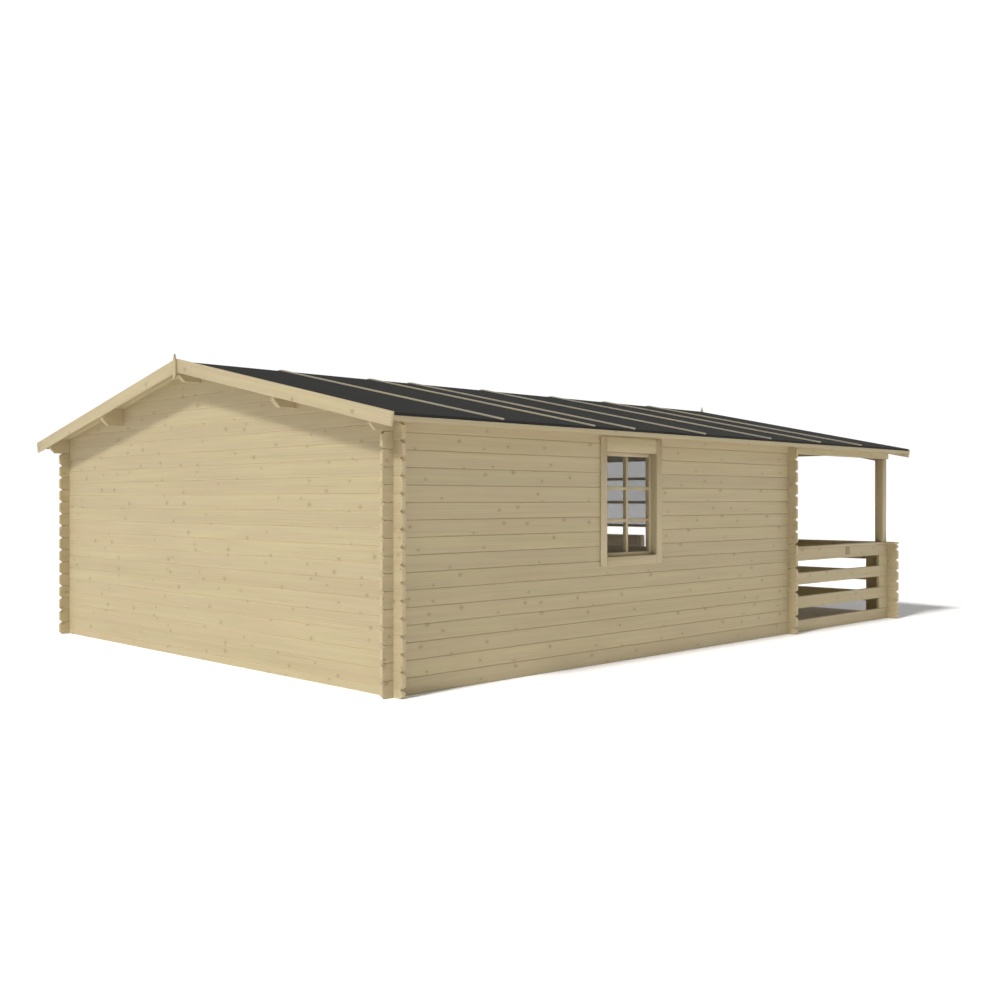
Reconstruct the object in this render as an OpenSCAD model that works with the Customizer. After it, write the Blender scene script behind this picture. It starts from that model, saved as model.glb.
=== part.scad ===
// Log cabin with a covered porch, in millimetres.
// +Z is up, the porch faces -Y, and the origin lies on the ground under the middle of the cabin.

/* [Cabin] */

// Width between the outer faces of the two side walls
cabin_w = 5000; // [3000:10:7000]
// Length of the room, from the back wall's outer face to the front wall's
room_l = 4970; // [3000:10:7000]
// Length of the porch, from the front wall's outer face to the porch rail's
porch_l = 2083; // [1200:1:3000]
// Clear width of the way in between the two porch rails
entry_w = 1774; // [900:2:2400]

/* [Logs] */

// Height of one log course
log_h = 117; // [90:1:150]
// Thickness of a wall log
log_t = 28; // [20:1:60]
// How far a log runs on past the wall it crosses
log_end = 92; // [60:1:200]
// Bevel along the edges of a log
log_bevel = 4; // [1:0.5:8]
// Length of the slanted cut at a log's free end
end_cut_l = 28; // [10:1:50]
// Height of the slanted cut at a log's free end
end_cut_h = 20; // [8:1:40]
// Width of the tongue along a log's top
tongue_w = 9; // [5:0.5:14]
// Height of the tongue along a log's top
tongue_h = 7; // [4:0.5:12]
// Clearance around tongues and in corner notches
log_fit = 0.3; // [0.1:0.1:1]
// Full courses in a side wall below its eave log
wall_courses = 15; // [12:1:18]
// Courses up to the top of the porch rail
rail_courses = 7; // [5:2:9]
// How far the short corner logs of the porch's side rail reach in from its front
stub_l = 217; // [120:1:300]
// How far the short corner logs of the porch's front rail reach in from its side
front_stub_l = 250; // [120:1:350]
// How far the logs of the porch's front rail run on past the side wall
rail_end = 118; // [60:1:160]

/* [Roof] */

// Height of the eave log at the side wall's outer face
eave_h = 129; // [100:1:180]
// Slope of the roof
roof_angle = 11.7; // [8:0.1:20]
// Thickness of the roof boards
roof_t = 19; // [12:1:30]
// Thickness of the roof felt
felt_t = 3; // [2:0.5:6]
// How far the felt is folded down over the eave
felt_fold = 17; // [8:1:40]
// How far the roof reaches out beyond the side walls
eave_over = 228; // [100:1:400]
// How far the roof reaches out beyond the back wall
back_over = 190; // [100:1:400]
// How far the roof reaches out beyond the porch rail
front_over = 5; // [1:1:300]
// Height of the bargeboards at the eaves, measured plumb
barge_h = 99; // [60:1:160]
// How much higher the bargeboards are at the ridge
barge_rise = 12; // [0:1:30]
// How far the bargeboards' lower ends run out beyond the felt
barge_out = 12; // [0:1:40]
// Thickness of the bargeboards
barge_t = 19; // [12:1:30]
// How far the bargeboards stand up above the felt at the eaves
barge_up = 6; // [0:1:15]
// Width of the finial boards on the two gables
finial_w = 44; // [30:1:90]
// Height of the finial boards
finial_h = 214; // [120:1:320]
// Thickness of the finial boards
finial_t = 18; // [12:1:30]
// Height of a finial's tip above the felt at the ridge
finial_up = 54; // [20:1:120]
// Height of the strip under the eave of the roof boards
strip_h = 32; // [20:1:60]
// Thickness of the strip under the eave
strip_t = 20; // [12:1:30]
// Width of the battens that hold the felt down
batten_w = 30; // [20:1:50]
// Thickness of the battens
batten_t = 12; // [8:1:24]

/* [Purlins] */

// Width of a purlin
purlin_w = 50; // [35:1:80]
// Height of a purlin
purlin_h = 140; // [100:1:180]
// Distance of a side purlin's outer face from the side wall's outer face
purlin_in = 1110; // [700:1:1600]
// How far the slanted end cut of purlins and eave logs runs back from the tip
purlin_cut = 48; // [20:1:90]

/* [Windows] */

// Middle of a side window, measured from the back wall's outer face
window_at = 2506; // [1500:2:3500]
// How far the window's rough opening ends below the top of the side wall's logs
window_drop = 38; // [10:1:300]
// Clear width between the window's jambs
window_w = 644; // [400:2:900]
// Clear height between the window's sill and head
window_h = 844; // [500:2:1000]
// Thickness of the boards of a window frame
jamb_t = 27; // [18:1:40]
// Depth of a window frame inwards from the wall's outer face
jamb_d = 88; // [60:1:120]
// How far the sash is set back from the wall's outer face
sash_back = 43; // [10:1:60]
// Thickness of the sash
sash_t = 40; // [25:1:50]
// Width of the sash's stiles and rails
sash_w = 30; // [20:1:60]
// Thickness of the glass
glass_t = 4; // [3:0.5:8]
// Clearance around sashes, door leaves and glass
glaze_fit = 0.3; // [0.1:0.1:1]
// Width of the side casing boards
casing_w = 78; // [40:1:120]
// Thickness of the casing boards
casing_t = 12; // [8:1:30]
// Height of the window's head casing
head_h = 120; // [60:1:180]
// Height of the window's bottom casing
foot_h = 72; // [40:1:130]

/* [Door] */

// Clear width between the door's jambs
door_w = 1780; // [1200:2:2100]
// Thickness of the boards of the door frame
door_jamb_t = 45; // [30:1:60]
// Height of the threshold board
threshold_h = 27; // [18:1:40]
// Thickness of a door leaf
leaf_t = 40; // [30:1:50]
// Width of a leaf's stiles and top rail
stile_w = 100; // [60:1:140]
// Height of a leaf's closed lower part
leaf_foot_h = 714; // [80:1:850]
// Height above ground of the middle of the bar between the upper and lower panes
door_bar_z = 1025; // [700:1:1200]
// Height of that bar
door_bar_h = 30; // [20:1:140]
// Height of the door's head casing
door_head_h = 110; // [60:1:140]
// Height above ground of the door handles
handle_z = 960; // [800:1:1100]
// Height of a handle's plate
plate_h = 190; // [120:1:260]
// Width of a handle's plate
plate_w = 34; // [24:1:50]
// Thickness of a handle's plate
plate_t = 5; // [3:0.5:8]
// Diameter of a handle's lever
lever_d = 16; // [10:1:24]
// Length of a handle's lever
lever_l = 118; // [80:1:150]

/* [Floor and porch] */

// Height of the floor joists
joist_h = 40; // [30:1:80]
// Width of the floor joists
joist_w = 60; // [40:1:100]
// Thickness of the floor boards
floor_t = 18; // [15:1:30]
// Gap between the floor and the walls around it
floor_gap = 0.5; // [0.2:0.1:0.8]
// Side of the square porch posts
post_w = 90; // [60:1:120]
// Distance of a post's front face behind the porch rail's outer face
post_back = 48; // [30:1:120]
// Width of the boards on top of the porch rail
cap_w = 90; // [60:1:140]
// Thickness of the boards on top of the porch rail
cap_t = 23; // [15:1:40]
// How far the front rail's top board runs out beyond the side wall's outer face
cap_over = 120; // [60:1:160]
// Width of the posts that hold the free ends of the front rail
rail_post_w = 70; // [40:1:100]
// Depth of those posts
rail_post_d = 45; // [30:1:70]
// Depth of the brackets under the porch gable
bracket_h = 80; // [30:1:120]
// Length of the brackets under the porch gable
bracket_l = 450; // [200:10:700]

/* [Hidden] */

side_x = cabin_w / 2;
slope = tan(roof_angle);
house_l = room_l + porch_l;
back_reach = back_over + barge_t + finial_t;
back_y = (house_l + log_end - back_reach) / 2;
front_y = back_y - room_l;
porch_y = back_y - house_l;
roof_back = back_y + back_over;
roof_front = porch_y - front_over;
roof_l = roof_back - roof_front;
roof_v = roof_t / cos(roof_angle);
felt_v = felt_t / cos(roof_angle);
eave_log_z = wall_courses * log_h;
eave_z = eave_log_z + eave_h;
ridge_z = eave_z + side_x * slope;
edge_x = side_x + eave_over;
gable_courses = ceil(ridge_z / log_h - 0.5);
rail_z = rail_courses * log_h;
rough_w = window_w + 2 * jamb_t;
rough_h = window_h + 2 * jamb_t;
sill_z = eave_log_z - window_drop - rough_h;
window_y = back_y - window_at;
door_foot = joist_h + floor_t + floor_gap;
door_top = (wall_courses + 1.5) * log_h;
leaf_z = door_foot + threshold_h + glaze_fit;
leaf_h = door_top - door_jamb_t - glaze_fit - leaf_z;
leaf_w = door_w / 2 - 1.5 * glaze_fit;
leaf_y = front_y + 22;
purlin_x = side_x - purlin_in - purlin_w / 2;
sides = [-1, 1];
batten_at = [790, 1765, 2253, 3215, 4250, 5150, 5975];

wood = [0.80, 0.69, 0.50];
pale = [0.84, 0.74, 0.56];
tar = [0.17, 0.17, 0.18];
steel = [0.62, 0.62, 0.63];
clear = [0.80, 0.88, 0.90, 0.35];
smoke = [0.45, 0.47, 0.50, 0.45];

// Height of the roof boards' underside above a point at x.
function roof_z(x) = eave_z + (side_x - abs(x)) * slope;

// Cross-section of a log of height h, with a tongue and groove where tg is the tongue's height.
module log_profile(h, tg) {
    r = log_t / 2;
    b = log_bevel;
    w = tongue_w / 2;
    g = w + log_fit;
    top = tg > 0 ? [[-w, h], [-w, h + tg], [w, h + tg], [w, h]] : [];
    foot = tg > 0 ? [[g, 0], [g, tg + log_fit], [-g, tg + log_fit], [-g, 0]] : [];
    polygon(concat([[b - r, 0], [-r, b], [-r, h - b], [b - r, h]], top,
        [[r - b, h], [r, h - b], [r, b], [r - b, 0]], foot));
}

// Slanted end cuts of a log, where its free end is at s and the log lies in direction d from it.
module end_cuts(s, d, z, h) {
    k = end_cut_l / end_cut_h;
    up = tongue_h + 1;
    polygon([[s - d, z - 1], [s + d * (end_cut_l + k), z - 1], [s - d, z + end_cut_h + 1 / k]]);
    polygon([[s - d, z + h - end_cut_h - 1 / k], [s - d, z + h + up],
        [s + d * (end_cut_l + k * up), z + h + up]]);
}

// Notches above and below a log where another wall of logs crosses it at c.
module corner_notches(c, z, h) {
    w = log_t + 2 * log_fit;
    q = log_h / 4;
    translate([c - w / 2, z + h - q])
        square([w, q + tongue_h + 1]);
    if (h > 2 * q)
        translate([c - w / 2, z - 1])
            square([w, q + 1]);
}

// A log along Y from a to b with its lower outer corner at x and z, less the outline given in Y and Z.
module log_y(x, a, b, z, h, tg) {
    difference() {
        translate([x + log_t / 2, b, z])
            rotate([90, 0, 0])
                linear_extrude(b - a)
                    log_profile(h, tg);
        translate([x - 1, 0, 0])
            rotate([90, 0, 90])
                linear_extrude(log_t + 2)
                    children();
    }
}

// A log along X from a to b with its front face at y, less the outline given in X and Z.
module log_x(y, a, b, z, h, tg) {
    difference() {
        translate([a, y + log_t / 2, z])
            rotate([90, 0, 90])
                linear_extrude(b - a)
                    log_profile(h, tg);
        translate([0, y + log_t + 1, 0])
            rotate([90, 0, 0])
                linear_extrude(log_t + 2)
                    children();
    }
}

// Course i of a side wall. Every second low course runs on along the porch as its rail.
module side_log(s, i) {
    z = i * log_h;
    long = i % 2 == 0 && i < rail_courses;
    a = (long ? porch_y : front_y) - log_end;
    b = back_y + log_end;
    log_y(s < 0 ? -side_x : side_x - log_t, a, b, z, log_h, tongue_h) {
        end_cuts(a, 1, z, log_h);
        end_cuts(b, -1, z, log_h);
        corner_notches(back_y - log_t / 2, z, log_h);
        corner_notches(front_y + log_t / 2, z, log_h);
        if (long)
            corner_notches(porch_y + log_t / 2, z, log_h);
        if (long)
            translate([a - 1, z + log_h])
                square([front_y - log_end - a + 1, tongue_h + 1]);
        translate([window_y - rough_w / 2, sill_z])
            square([rough_w, rough_h]);
    }
}

// Room for the purlins in a gable, in X and Z.
module purlin_slots() {
    f = log_fit;
    translate([-purlin_w / 2 - f, ridge_z - purlin_h - f])
        square([purlin_w + 2 * f, purlin_h + 50]);
    for (s = sides)
        translate([s * purlin_x - purlin_w / 2 - f, roof_z(side_x - purlin_in) - purlin_h - f])
            square([purlin_w + 2 * f, purlin_h + 50]);
}

// Everything above the roof boards' underside, in X and Z.
module above_roof() {
    far = side_x + log_end + 50;
    polygon([[-far, roof_z(far)], [0, ridge_z], [far, roof_z(far)], [far, ridge_z + 400],
        [-far, ridge_z + 400]]);
}

// Course j of a wall across the cabin, half a log higher than the side courses.
module gable_log(y, j, reach) {
    z = j == 0 ? 0 : (j - 0.5) * log_h;
    h = j == 0 ? log_h / 2 : log_h;
    e = side_x + reach;
    log_x(y, -e, e, z, h, tongue_h) {
        if (reach > 0) {
            end_cuts(-e, 1, z, h);
            end_cuts(e, -1, z, h);
        }
        for (s = sides)
            corner_notches(s * (side_x - log_t / 2), z, h);
        above_roof();
        purlin_slots();
        children();
    }
}

// The even or odd courses of a wall across the cabin.
module gable_wall(y, first, reach) {
    for (j = [first : 2 : gable_courses])
        gable_log(y, j, reach)
            children();
}

module side_wall(s, first) {
    for (i = [first : 2 : wall_courses - 1])
        side_log(s, i);
}

// Cut-out for the door in the even or odd courses of the front wall, in X and Z.
// In the courses that hold the topmost cut log it also takes that log's tongue away.
module door_hole(first) {
    w = door_w + 2 * door_jamb_t;
    up = (wall_courses + 1) % 2 == first ? tongue_h + 1 : 0;
    translate([-w / 2, door_foot])
        square([w, door_top - door_foot + up]);
}

module no_hole() {
    translate([0, -100])
        square(1);
}

module back_wall_even_logs() {
    color(wood) gable_wall(back_y - log_t, 0, log_end) no_hole();
}

module back_wall_odd_logs() {
    color(wood) gable_wall(back_y - log_t, 1, log_end) no_hole();
}

module left_wall_even_logs() {
    color(wood) side_wall(-1, 0);
}

module left_wall_odd_logs() {
    color(wood) side_wall(-1, 1);
}

module right_wall_even_logs() {
    color(wood) side_wall(1, 0);
}

module right_wall_odd_logs() {
    color(wood) side_wall(1, 1);
}

module front_wall_even_logs() {
    color(wood) gable_wall(front_y, 0, log_end) door_hole(0);
}

module front_wall_odd_logs() {
    color(wood) gable_wall(front_y, 1, log_end) door_hole(1);
}

// Outline of an eave log or purlin from the porch gable to behind the back bargeboards, in Y and Z.
module beam_outline(z0, z1) {
    polygon([[porch_y, z0], [roof_back - purlin_cut, z0], [roof_back, z0 + purlin_cut],
        [roof_back, z1], [porch_y, z1]]);
}

module eave_logs() {
    z = eave_log_z;
    color(wood) for (s = sides)
        difference() {
            intersection() {
                translate([s < 0 ? -side_x - 1 : side_x - log_t - 1, 0, 0])
                    rotate([90, 0, 90])
                        linear_extrude(log_t + 2)
                            beam_outline(z - 1, eave_z + 60);
                translate([s * (side_x - log_t / 2), roof_back + 1, z])
                    rotate([90, 0, 0])
                        linear_extrude(roof_l + 2)
                            log_profile(eave_z + 60 - z, tongue_h);
            }
            translate([0, roof_back + 2, 0])
                rotate([90, 0, 0])
                    linear_extrude(roof_l + 4)
                        above_roof();
            translate([s < 0 ? -side_x - 1 : side_x - log_t - 1, 0, 0])
                rotate([90, 0, 90])
                    linear_extrude(log_t + 2)
                        for (c = [back_y - log_t / 2, front_y + log_t / 2, porch_y + log_t / 2])
                            eave_notches(c);
        }
}

// Notches of an eave log where a wall across the cabin meets it at c, in Y and Z.
// The porch gable has no log below the eave logs, so there they are notched above only.
module eave_notches(c) {
    w = log_t + 2 * log_fit;
    if (c > porch_y + log_t)
        translate([c - w / 2, eave_log_z - 2])
            square([w, log_h / 4 + 2]);
    translate([c - w / 2, eave_log_z + 0.75 * log_h])
        square([w, log_h]);
}

// A purlin with its middle at x and its underside at z, its top bevelled to the roof.
module purlin(x, z) {
    difference() {
        translate([x - purlin_w / 2, 0, 0])
            rotate([90, 0, 90])
                linear_extrude(purlin_w)
                    beam_outline(z, z + purlin_h + 60);
        translate([0, roof_back + 1, 0])
            rotate([90, 0, 0])
                linear_extrude(roof_l + 2)
                    above_roof();
    }
}

module side_purlins() {
    color(pale) for (s = sides)
        purlin(s * purlin_x, roof_z(side_x - purlin_in) - purlin_h);
}

module ridge_purlin() {
    color(pale) purlin(0, ridge_z - purlin_h);
}

// Lays an outline in X and Z along the whole roof.
module along_roof() {
    translate([0, roof_back, 0])
        rotate([90, 0, 0])
            linear_extrude(roof_l)
                children();
}

module roof_half(s) {
    z = roof_z(edge_x);
    along_roof()
        polygon([[0, ridge_z], [s * edge_x, z], [s * edge_x, z + roof_v], [0, ridge_z + roof_v]]);
}

module felt_half(s) {
    z = roof_z(edge_x) + roof_v;
    x = s * (edge_x + felt_t);
    top = z - felt_t * slope + felt_v;
    along_roof()
        polygon([[0, ridge_z + roof_v], [s * edge_x, z], [s * edge_x, z - felt_fold], [x, z - felt_fold],
            [x, top], [0, ridge_z + roof_v + felt_v]]);
}

module left_roof_boards() {
    color(pale) roof_half(-1);
}

module right_roof_boards() {
    color(pale) roof_half(1);
}

module left_roof_felt() {
    color(tar) felt_half(-1);
}

module right_roof_felt() {
    color(tar) felt_half(1);
}

module roof_battens() {
    over = roof_v + felt_v;
    batten_v = batten_t / cos(roof_angle);
    color(pale) for (s = sides, y = batten_at)
        translate([0, back_y - y + batten_w / 2, 0])
            rotate([90, 0, 0])
                linear_extrude(batten_w)
                    polygon([[s * 6, roof_z(6) + over], [s * edge_x, roof_z(edge_x) + over],
                        [s * edge_x, roof_z(edge_x) + over + batten_v],
                        [s * 6, roof_z(6) + over + batten_v]]);
}

// The two bargeboards of one roof slope, their lower ends cut square to the slope.
module bargeboards(s) {
    up = roof_v + felt_v + barge_up;
    x = edge_x + felt_t + barge_out;
    top = roof_z(x) + up;
    back = barge_h * sin(roof_angle) * cos(roof_angle);
    for (y = [roof_back + barge_t, roof_front])
        translate([0, y, 0])
            rotate([90, 0, 0])
                linear_extrude(barge_t)
                    polygon([[0, ridge_z + up + barge_rise], [s * x, top],
                        [s * (x - back), top + back * slope - barge_h], [0, ridge_z + up - barge_h]]);
}

module left_bargeboards() {
    color(pale) bargeboards(-1);
}

module right_bargeboards() {
    color(pale) bargeboards(1);
}

module gable_finials() {
    w = finial_w / 2;
    z = ridge_z + roof_v + felt_v + finial_up;
    color(pale) for (y = [roof_back + barge_t + finial_t, roof_front - barge_t])
        translate([0, y, z])
            rotate([90, 0, 0])
                linear_extrude(finial_t)
                    polygon([[0, 0], [w, -1.6 * finial_w], [w, 0.9 * finial_w - finial_h], [0, -finial_h],
                        [-w, 0.9 * finial_w - finial_h], [-w, -1.6 * finial_w]]);
}

module eave_strips() {
    color(pale) for (s = sides)
        along_roof()
            polygon([[s * edge_x, roof_z(edge_x)], [s * (edge_x - strip_t), roof_z(edge_x - strip_t)],
                [s * (edge_x - strip_t), roof_z(edge_x) - strip_h], [s * edge_x, roof_z(edge_x) - strip_h]]);
}

// Stands a piece on a side wall: depth grows inwards from the wall's outer face, and the outline is in Y and Z.
module on_side(s, depth, t) {
    translate([s < 0 ? -side_x + depth : side_x - depth - t, 0, 0])
        rotate([90, 0, 90])
            linear_extrude(t)
                children();
}

// A rectangle of width w around the window's middle, from z0 to z1.
module window_band(w, z0, z1) {
    translate([window_y - w / 2, z0])
        square([w, z1 - z0]);
}

module window_side_casings() {
    z0 = sill_z + jamb_t;
    color(pale) for (s = sides, e = sides)
        on_side(s, -casing_t, casing_t)
            translate([window_y + e * (window_w + casing_w) / 2 - casing_w / 2, z0 - foot_h])
                square([casing_w, foot_h + window_h + head_h]);
}

module window_cross_casings() {
    z0 = sill_z + jamb_t;
    z1 = z0 + window_h;
    color(pale) for (s = sides)
        on_side(s, -casing_t, casing_t) {
            window_band(window_w, z0 - foot_h, z0);
            window_band(window_w, z1, z1 + head_h);
        }
}

module window_frames() {
    z0 = sill_z + jamb_t;
    color(pale) for (s = sides)
        on_side(s, 0, jamb_d)
            difference() {
                window_band(rough_w - 0.4, sill_z, sill_z + rough_h - 0.2);
                window_band(window_w, z0, z0 + window_h);
            }
}

module window_sashes() {
    z0 = sill_z + jamb_t;
    f = glaze_fit;
    color(pale) for (s = sides)
        on_side(s, sash_back, sash_t)
            difference() {
                window_band(window_w - 2 * f, z0, z0 + window_h - 2 * f);
                window_band(window_w - 2 * f - 2 * sash_w, z0 + sash_w, z0 + window_h - 2 * f - sash_w);
            }
}

module window_panes() {
    z0 = sill_z + jamb_t;
    f = glaze_fit;
    color(clear) for (s = sides)
        on_side(s, sash_back + sash_t / 2 - glass_t / 2, glass_t)
            window_band(window_w - 4 * f - 2 * sash_w, z0 + sash_w, z0 + window_h - 3 * f - sash_w);
}

// Stands a piece in the front wall with its front face at y: the outline is in X and Z.
module on_front(y, t) {
    translate([0, y + t, 0])
        rotate([90, 0, 0])
            linear_extrude(t)
                children();
}

module door_casing() {
    top = door_top - door_jamb_t;
    w = door_w + 2 * casing_w;
    color(pale) on_front(front_y - casing_t, casing_t)
        difference() {
            translate([-w / 2, door_foot])
                square([w, top + door_head_h - door_foot]);
            translate([-door_w / 2, door_foot - 1])
                square([door_w, top - door_foot + 1]);
        }
}

module door_frame() {
    color(pale) on_front(front_y, jamb_d)
        difference() {
            translate([-door_w / 2 - door_jamb_t + 0.2, door_foot])
                square([door_w + 2 * door_jamb_t - 0.4, door_top - door_foot - 0.2]);
            translate([-door_w / 2, door_foot + threshold_h])
                square([door_w, door_top - door_jamb_t - door_foot - threshold_h]);
        }
}

// A door leaf's glass as a rectangle from z0 to z1, smaller all round by f.
module leaf_light(s, z0, z1, f) {
    w = leaf_w - 2 * stile_w - 2 * f;
    mid = s * (glaze_fit / 2 + leaf_w / 2);
    translate([mid - w / 2, z0 + f])
        square([w, z1 - z0 - 2 * f]);
}

module upper_light(s, f) {
    leaf_light(s, door_bar_z + door_bar_h / 2, leaf_z + leaf_h - stile_w, f);
}

module lower_light(s, f) {
    leaf_light(s, leaf_z + leaf_foot_h, door_bar_z - door_bar_h / 2, f);
}

module door_leaf(s) {
    on_front(leaf_y, leaf_t)
        difference() {
            translate([s * (glaze_fit / 2 + leaf_w / 2) - leaf_w / 2, leaf_z])
                square([leaf_w, leaf_h]);
            upper_light(s, 0);
            lower_light(s, 0);
        }
}

module left_door_leaf() {
    color(pale) door_leaf(-1);
}

module right_door_leaf() {
    color(pale) door_leaf(1);
}

module door_upper_panes() {
    color(smoke) for (s = sides)
        on_front(leaf_y + leaf_t / 2 - glass_t / 2, glass_t)
            upper_light(s, glaze_fit);
}

module door_lower_panes() {
    color(clear) for (s = sides)
        on_front(leaf_y + leaf_t / 2 - glass_t / 2, glass_t)
            lower_light(s, glaze_fit);
}

// A handle on the right leaf's inner stile, with its plate at y and its lever out in direction d.
module door_handle(y, d) {
    x = (stile_w + glaze_fit) / 2;
    neck = 42;
    translate([x - plate_w / 2, d < 0 ? y - plate_t : y, handle_z - 0.6 * plate_h])
        cube([plate_w, plate_t, plate_h]);
    translate([x, y + d * plate_t, handle_z])
        rotate([d < 0 ? 90 : -90, 0, 0])
            cylinder(h = neck, d = lever_d);
    translate([x - lever_d / 2, y + d * (plate_t + neck), handle_z])
        rotate([0, 90, 0])
            cylinder(h = lever_l, d = lever_d);
}

module door_handles() {
    color(steel) {
        door_handle(leaf_y, -1);
        door_handle(leaf_y + leaf_t, 1);
    }
}

// A floor between the side walls from y0 to y1.
module floor_panel(y0, y1) {
    w = cabin_w - 2 * (log_t + floor_gap);
    translate([-w / 2, y0 + floor_gap, joist_h])
        cube([w, y1 - y0 - 2 * floor_gap, floor_t]);
}

module cabin_floor() {
    color(wood) floor_panel(front_y + log_t, back_y - log_t);
}

module porch_floor() {
    color(wood) floor_panel(porch_y + log_t, front_y);
}

// Joists under a floor, count of them between y0 and y1.
module joist_row(y0, y1, count) {
    w = cabin_w - 2 * (log_t + floor_gap);
    step = (y1 - y0 - 2 * floor_gap - joist_w) / (count - 1);
    for (k = [0 : count - 1])
        translate([-w / 2, y0 + floor_gap + k * step, 0])
            cube([w, joist_w, joist_h]);
}

module floor_joists() {
    color(wood) {
        joist_row(front_y + log_t, back_y - log_t, 9);
        joist_row(porch_y + log_t, front_y, 4);
    }
}

// A log of the porch's front rail, from the corner on side s to a distance r from the cabin's middle.
module rail_log(s, r, z, h) {
    e = side_x + rail_end;
    log_x(porch_y, s < 0 ? -e : r, s < 0 ? -r : e, z, h, 0) {
        end_cuts(s * e, -s, z, h);
        corner_notches(s * (side_x - log_t / 2), z, h);
    }
}

module porch_front_rails() {
    e = side_x + rail_end;
    color(wood) {
        log_x(porch_y, -e, e, 0, log_h / 2, 0) {
            end_cuts(-e, 1, 0, log_h / 2);
            end_cuts(e, -1, 0, log_h / 2);
            for (s = sides)
                corner_notches(s * (side_x - log_t / 2), 0, log_h / 2);
        }
        for (s = sides, j = [2 : 2 : rail_courses - 1])
            rail_log(s, entry_w / 2, (j - 0.5) * log_h, log_h);
    }
}

module porch_front_stubs() {
    color(wood) for (s = sides) {
        for (j = [1 : 2 : rail_courses - 2])
            rail_log(s, side_x - front_stub_l, (j - 0.5) * log_h, log_h);
        rail_top(s);
    }
}

// The half log on top of the porch's front rail.
module rail_top(s) {
    e = side_x + rail_end;
    z = (rail_courses - 0.5) * log_h;
    r = entry_w / 2;
    w = log_t + 2 * log_fit;
    log_x(porch_y, s < 0 ? -e : r, s < 0 ? -r : e, z, log_h / 2, 0) {
        end_cuts(s * e, -s, z, log_h / 2);
        translate([s * (side_x - log_t / 2) - w / 2, z - 1])
            square([w, log_h / 4 + 1]);
    }
}

module porch_side_stubs() {
    b = porch_y + stub_l;
    a = porch_y - log_end;
    color(wood) for (s = sides, i = [1 : 2 : rail_courses - 2])
        log_y(s < 0 ? -side_x : side_x - log_t, a, b, i * log_h, log_h, 0) {
            end_cuts(a, 1, i * log_h, log_h);
            corner_notches(porch_y + log_t / 2, i * log_h, log_h);
        }
}

module porch_side_caps() {
    y0 = porch_y + cap_w;
    color(pale) for (s = sides)
        translate([s < 0 ? -side_x : side_x - cap_w, y0, rail_z])
            cube([cap_w, front_y - log_end - 0.5 - y0, cap_t]);
}

module porch_front_caps() {
    w = side_x + cap_over - entry_w / 2;
    color(pale) for (s = sides)
        translate([s < 0 ? -side_x - cap_over : entry_w / 2, porch_y, rail_z])
            cube([w, cap_w, cap_t]);
}

module porch_rail_posts() {
    z = joist_h + floor_t;
    color(pale) for (s = sides)
        translate([s * (entry_w / 2 + rail_post_w / 2) - rail_post_w / 2, porch_y + log_t, z])
            translate([0, floor_gap / 2, 0])
                cube([rail_post_w, rail_post_d, rail_z - z]);
}

module porch_posts() {
    z = rail_z + cap_t;
    color(pale) for (s = sides)
        translate([s < 0 ? -side_x : side_x - post_w, porch_y + post_back, z])
            cube([post_w, post_w, eave_log_z - z]);
}

// The logs of the open porch gable that rest on the eave logs.
module porch_gable(first) {
    for (j = [first : 2 : gable_courses])
        gable_log(porch_y, j, 0)
            no_hole();
}

module porch_gable_even_logs() {
    color(wood) porch_gable(wall_courses + 1);
}

module porch_gable_odd_logs() {
    color(wood) porch_gable(wall_courses + 2);
}

module porch_brackets() {
    z = (wall_courses + 0.5) * log_h;
    x = side_x - log_t - log_fit;
    color(wood) for (s = sides)
        on_front(porch_y, log_t)
            polygon([[s * x, z], [s * x, z - bracket_h], [s * (x - 80), z - bracket_h],
                [s * (x - bracket_l), z]]);
}

back_wall_even_logs();
back_wall_odd_logs();
left_wall_even_logs();
left_wall_odd_logs();
right_wall_even_logs();
right_wall_odd_logs();
front_wall_even_logs();
front_wall_odd_logs();
eave_logs();
side_purlins();
ridge_purlin();
left_roof_boards();
right_roof_boards();
left_roof_felt();
right_roof_felt();
roof_battens();
left_bargeboards();
right_bargeboards();
gable_finials();
eave_strips();
window_side_casings();
window_cross_casings();
window_frames();
window_sashes();
window_panes();
door_casing();
door_frame();
left_door_leaf();
right_door_leaf();
door_upper_panes();
door_lower_panes();
door_handles();
cabin_floor();
porch_floor();
floor_joists();
porch_front_rails();
porch_front_stubs();
porch_side_stubs();
porch_side_caps();
porch_front_caps();
porch_rail_posts();
porch_posts();
porch_gable_even_logs();
porch_gable_odd_logs();
porch_brackets();
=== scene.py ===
"""Log cabin with a covered porch: finishes, small joinery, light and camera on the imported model."""

import logging
import math
from dataclasses import dataclass
from enum import Enum
from typing import Sequence, Union

import bpy
import numpy as np
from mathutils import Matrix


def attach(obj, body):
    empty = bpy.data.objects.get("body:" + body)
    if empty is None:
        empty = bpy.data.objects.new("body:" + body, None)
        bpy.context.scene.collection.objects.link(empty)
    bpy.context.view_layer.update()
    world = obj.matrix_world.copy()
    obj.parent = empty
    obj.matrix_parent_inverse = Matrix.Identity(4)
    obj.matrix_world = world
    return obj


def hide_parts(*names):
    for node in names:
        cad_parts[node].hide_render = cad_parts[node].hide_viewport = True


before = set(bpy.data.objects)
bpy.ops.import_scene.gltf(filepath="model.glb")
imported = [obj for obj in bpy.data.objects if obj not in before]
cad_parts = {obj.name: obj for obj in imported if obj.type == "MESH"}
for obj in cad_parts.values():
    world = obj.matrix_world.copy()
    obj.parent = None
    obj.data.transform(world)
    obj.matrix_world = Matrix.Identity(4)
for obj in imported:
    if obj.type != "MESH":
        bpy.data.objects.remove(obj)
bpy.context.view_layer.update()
LOG = logging.getLogger("log_cabin")
ROOT = "root"

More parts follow.
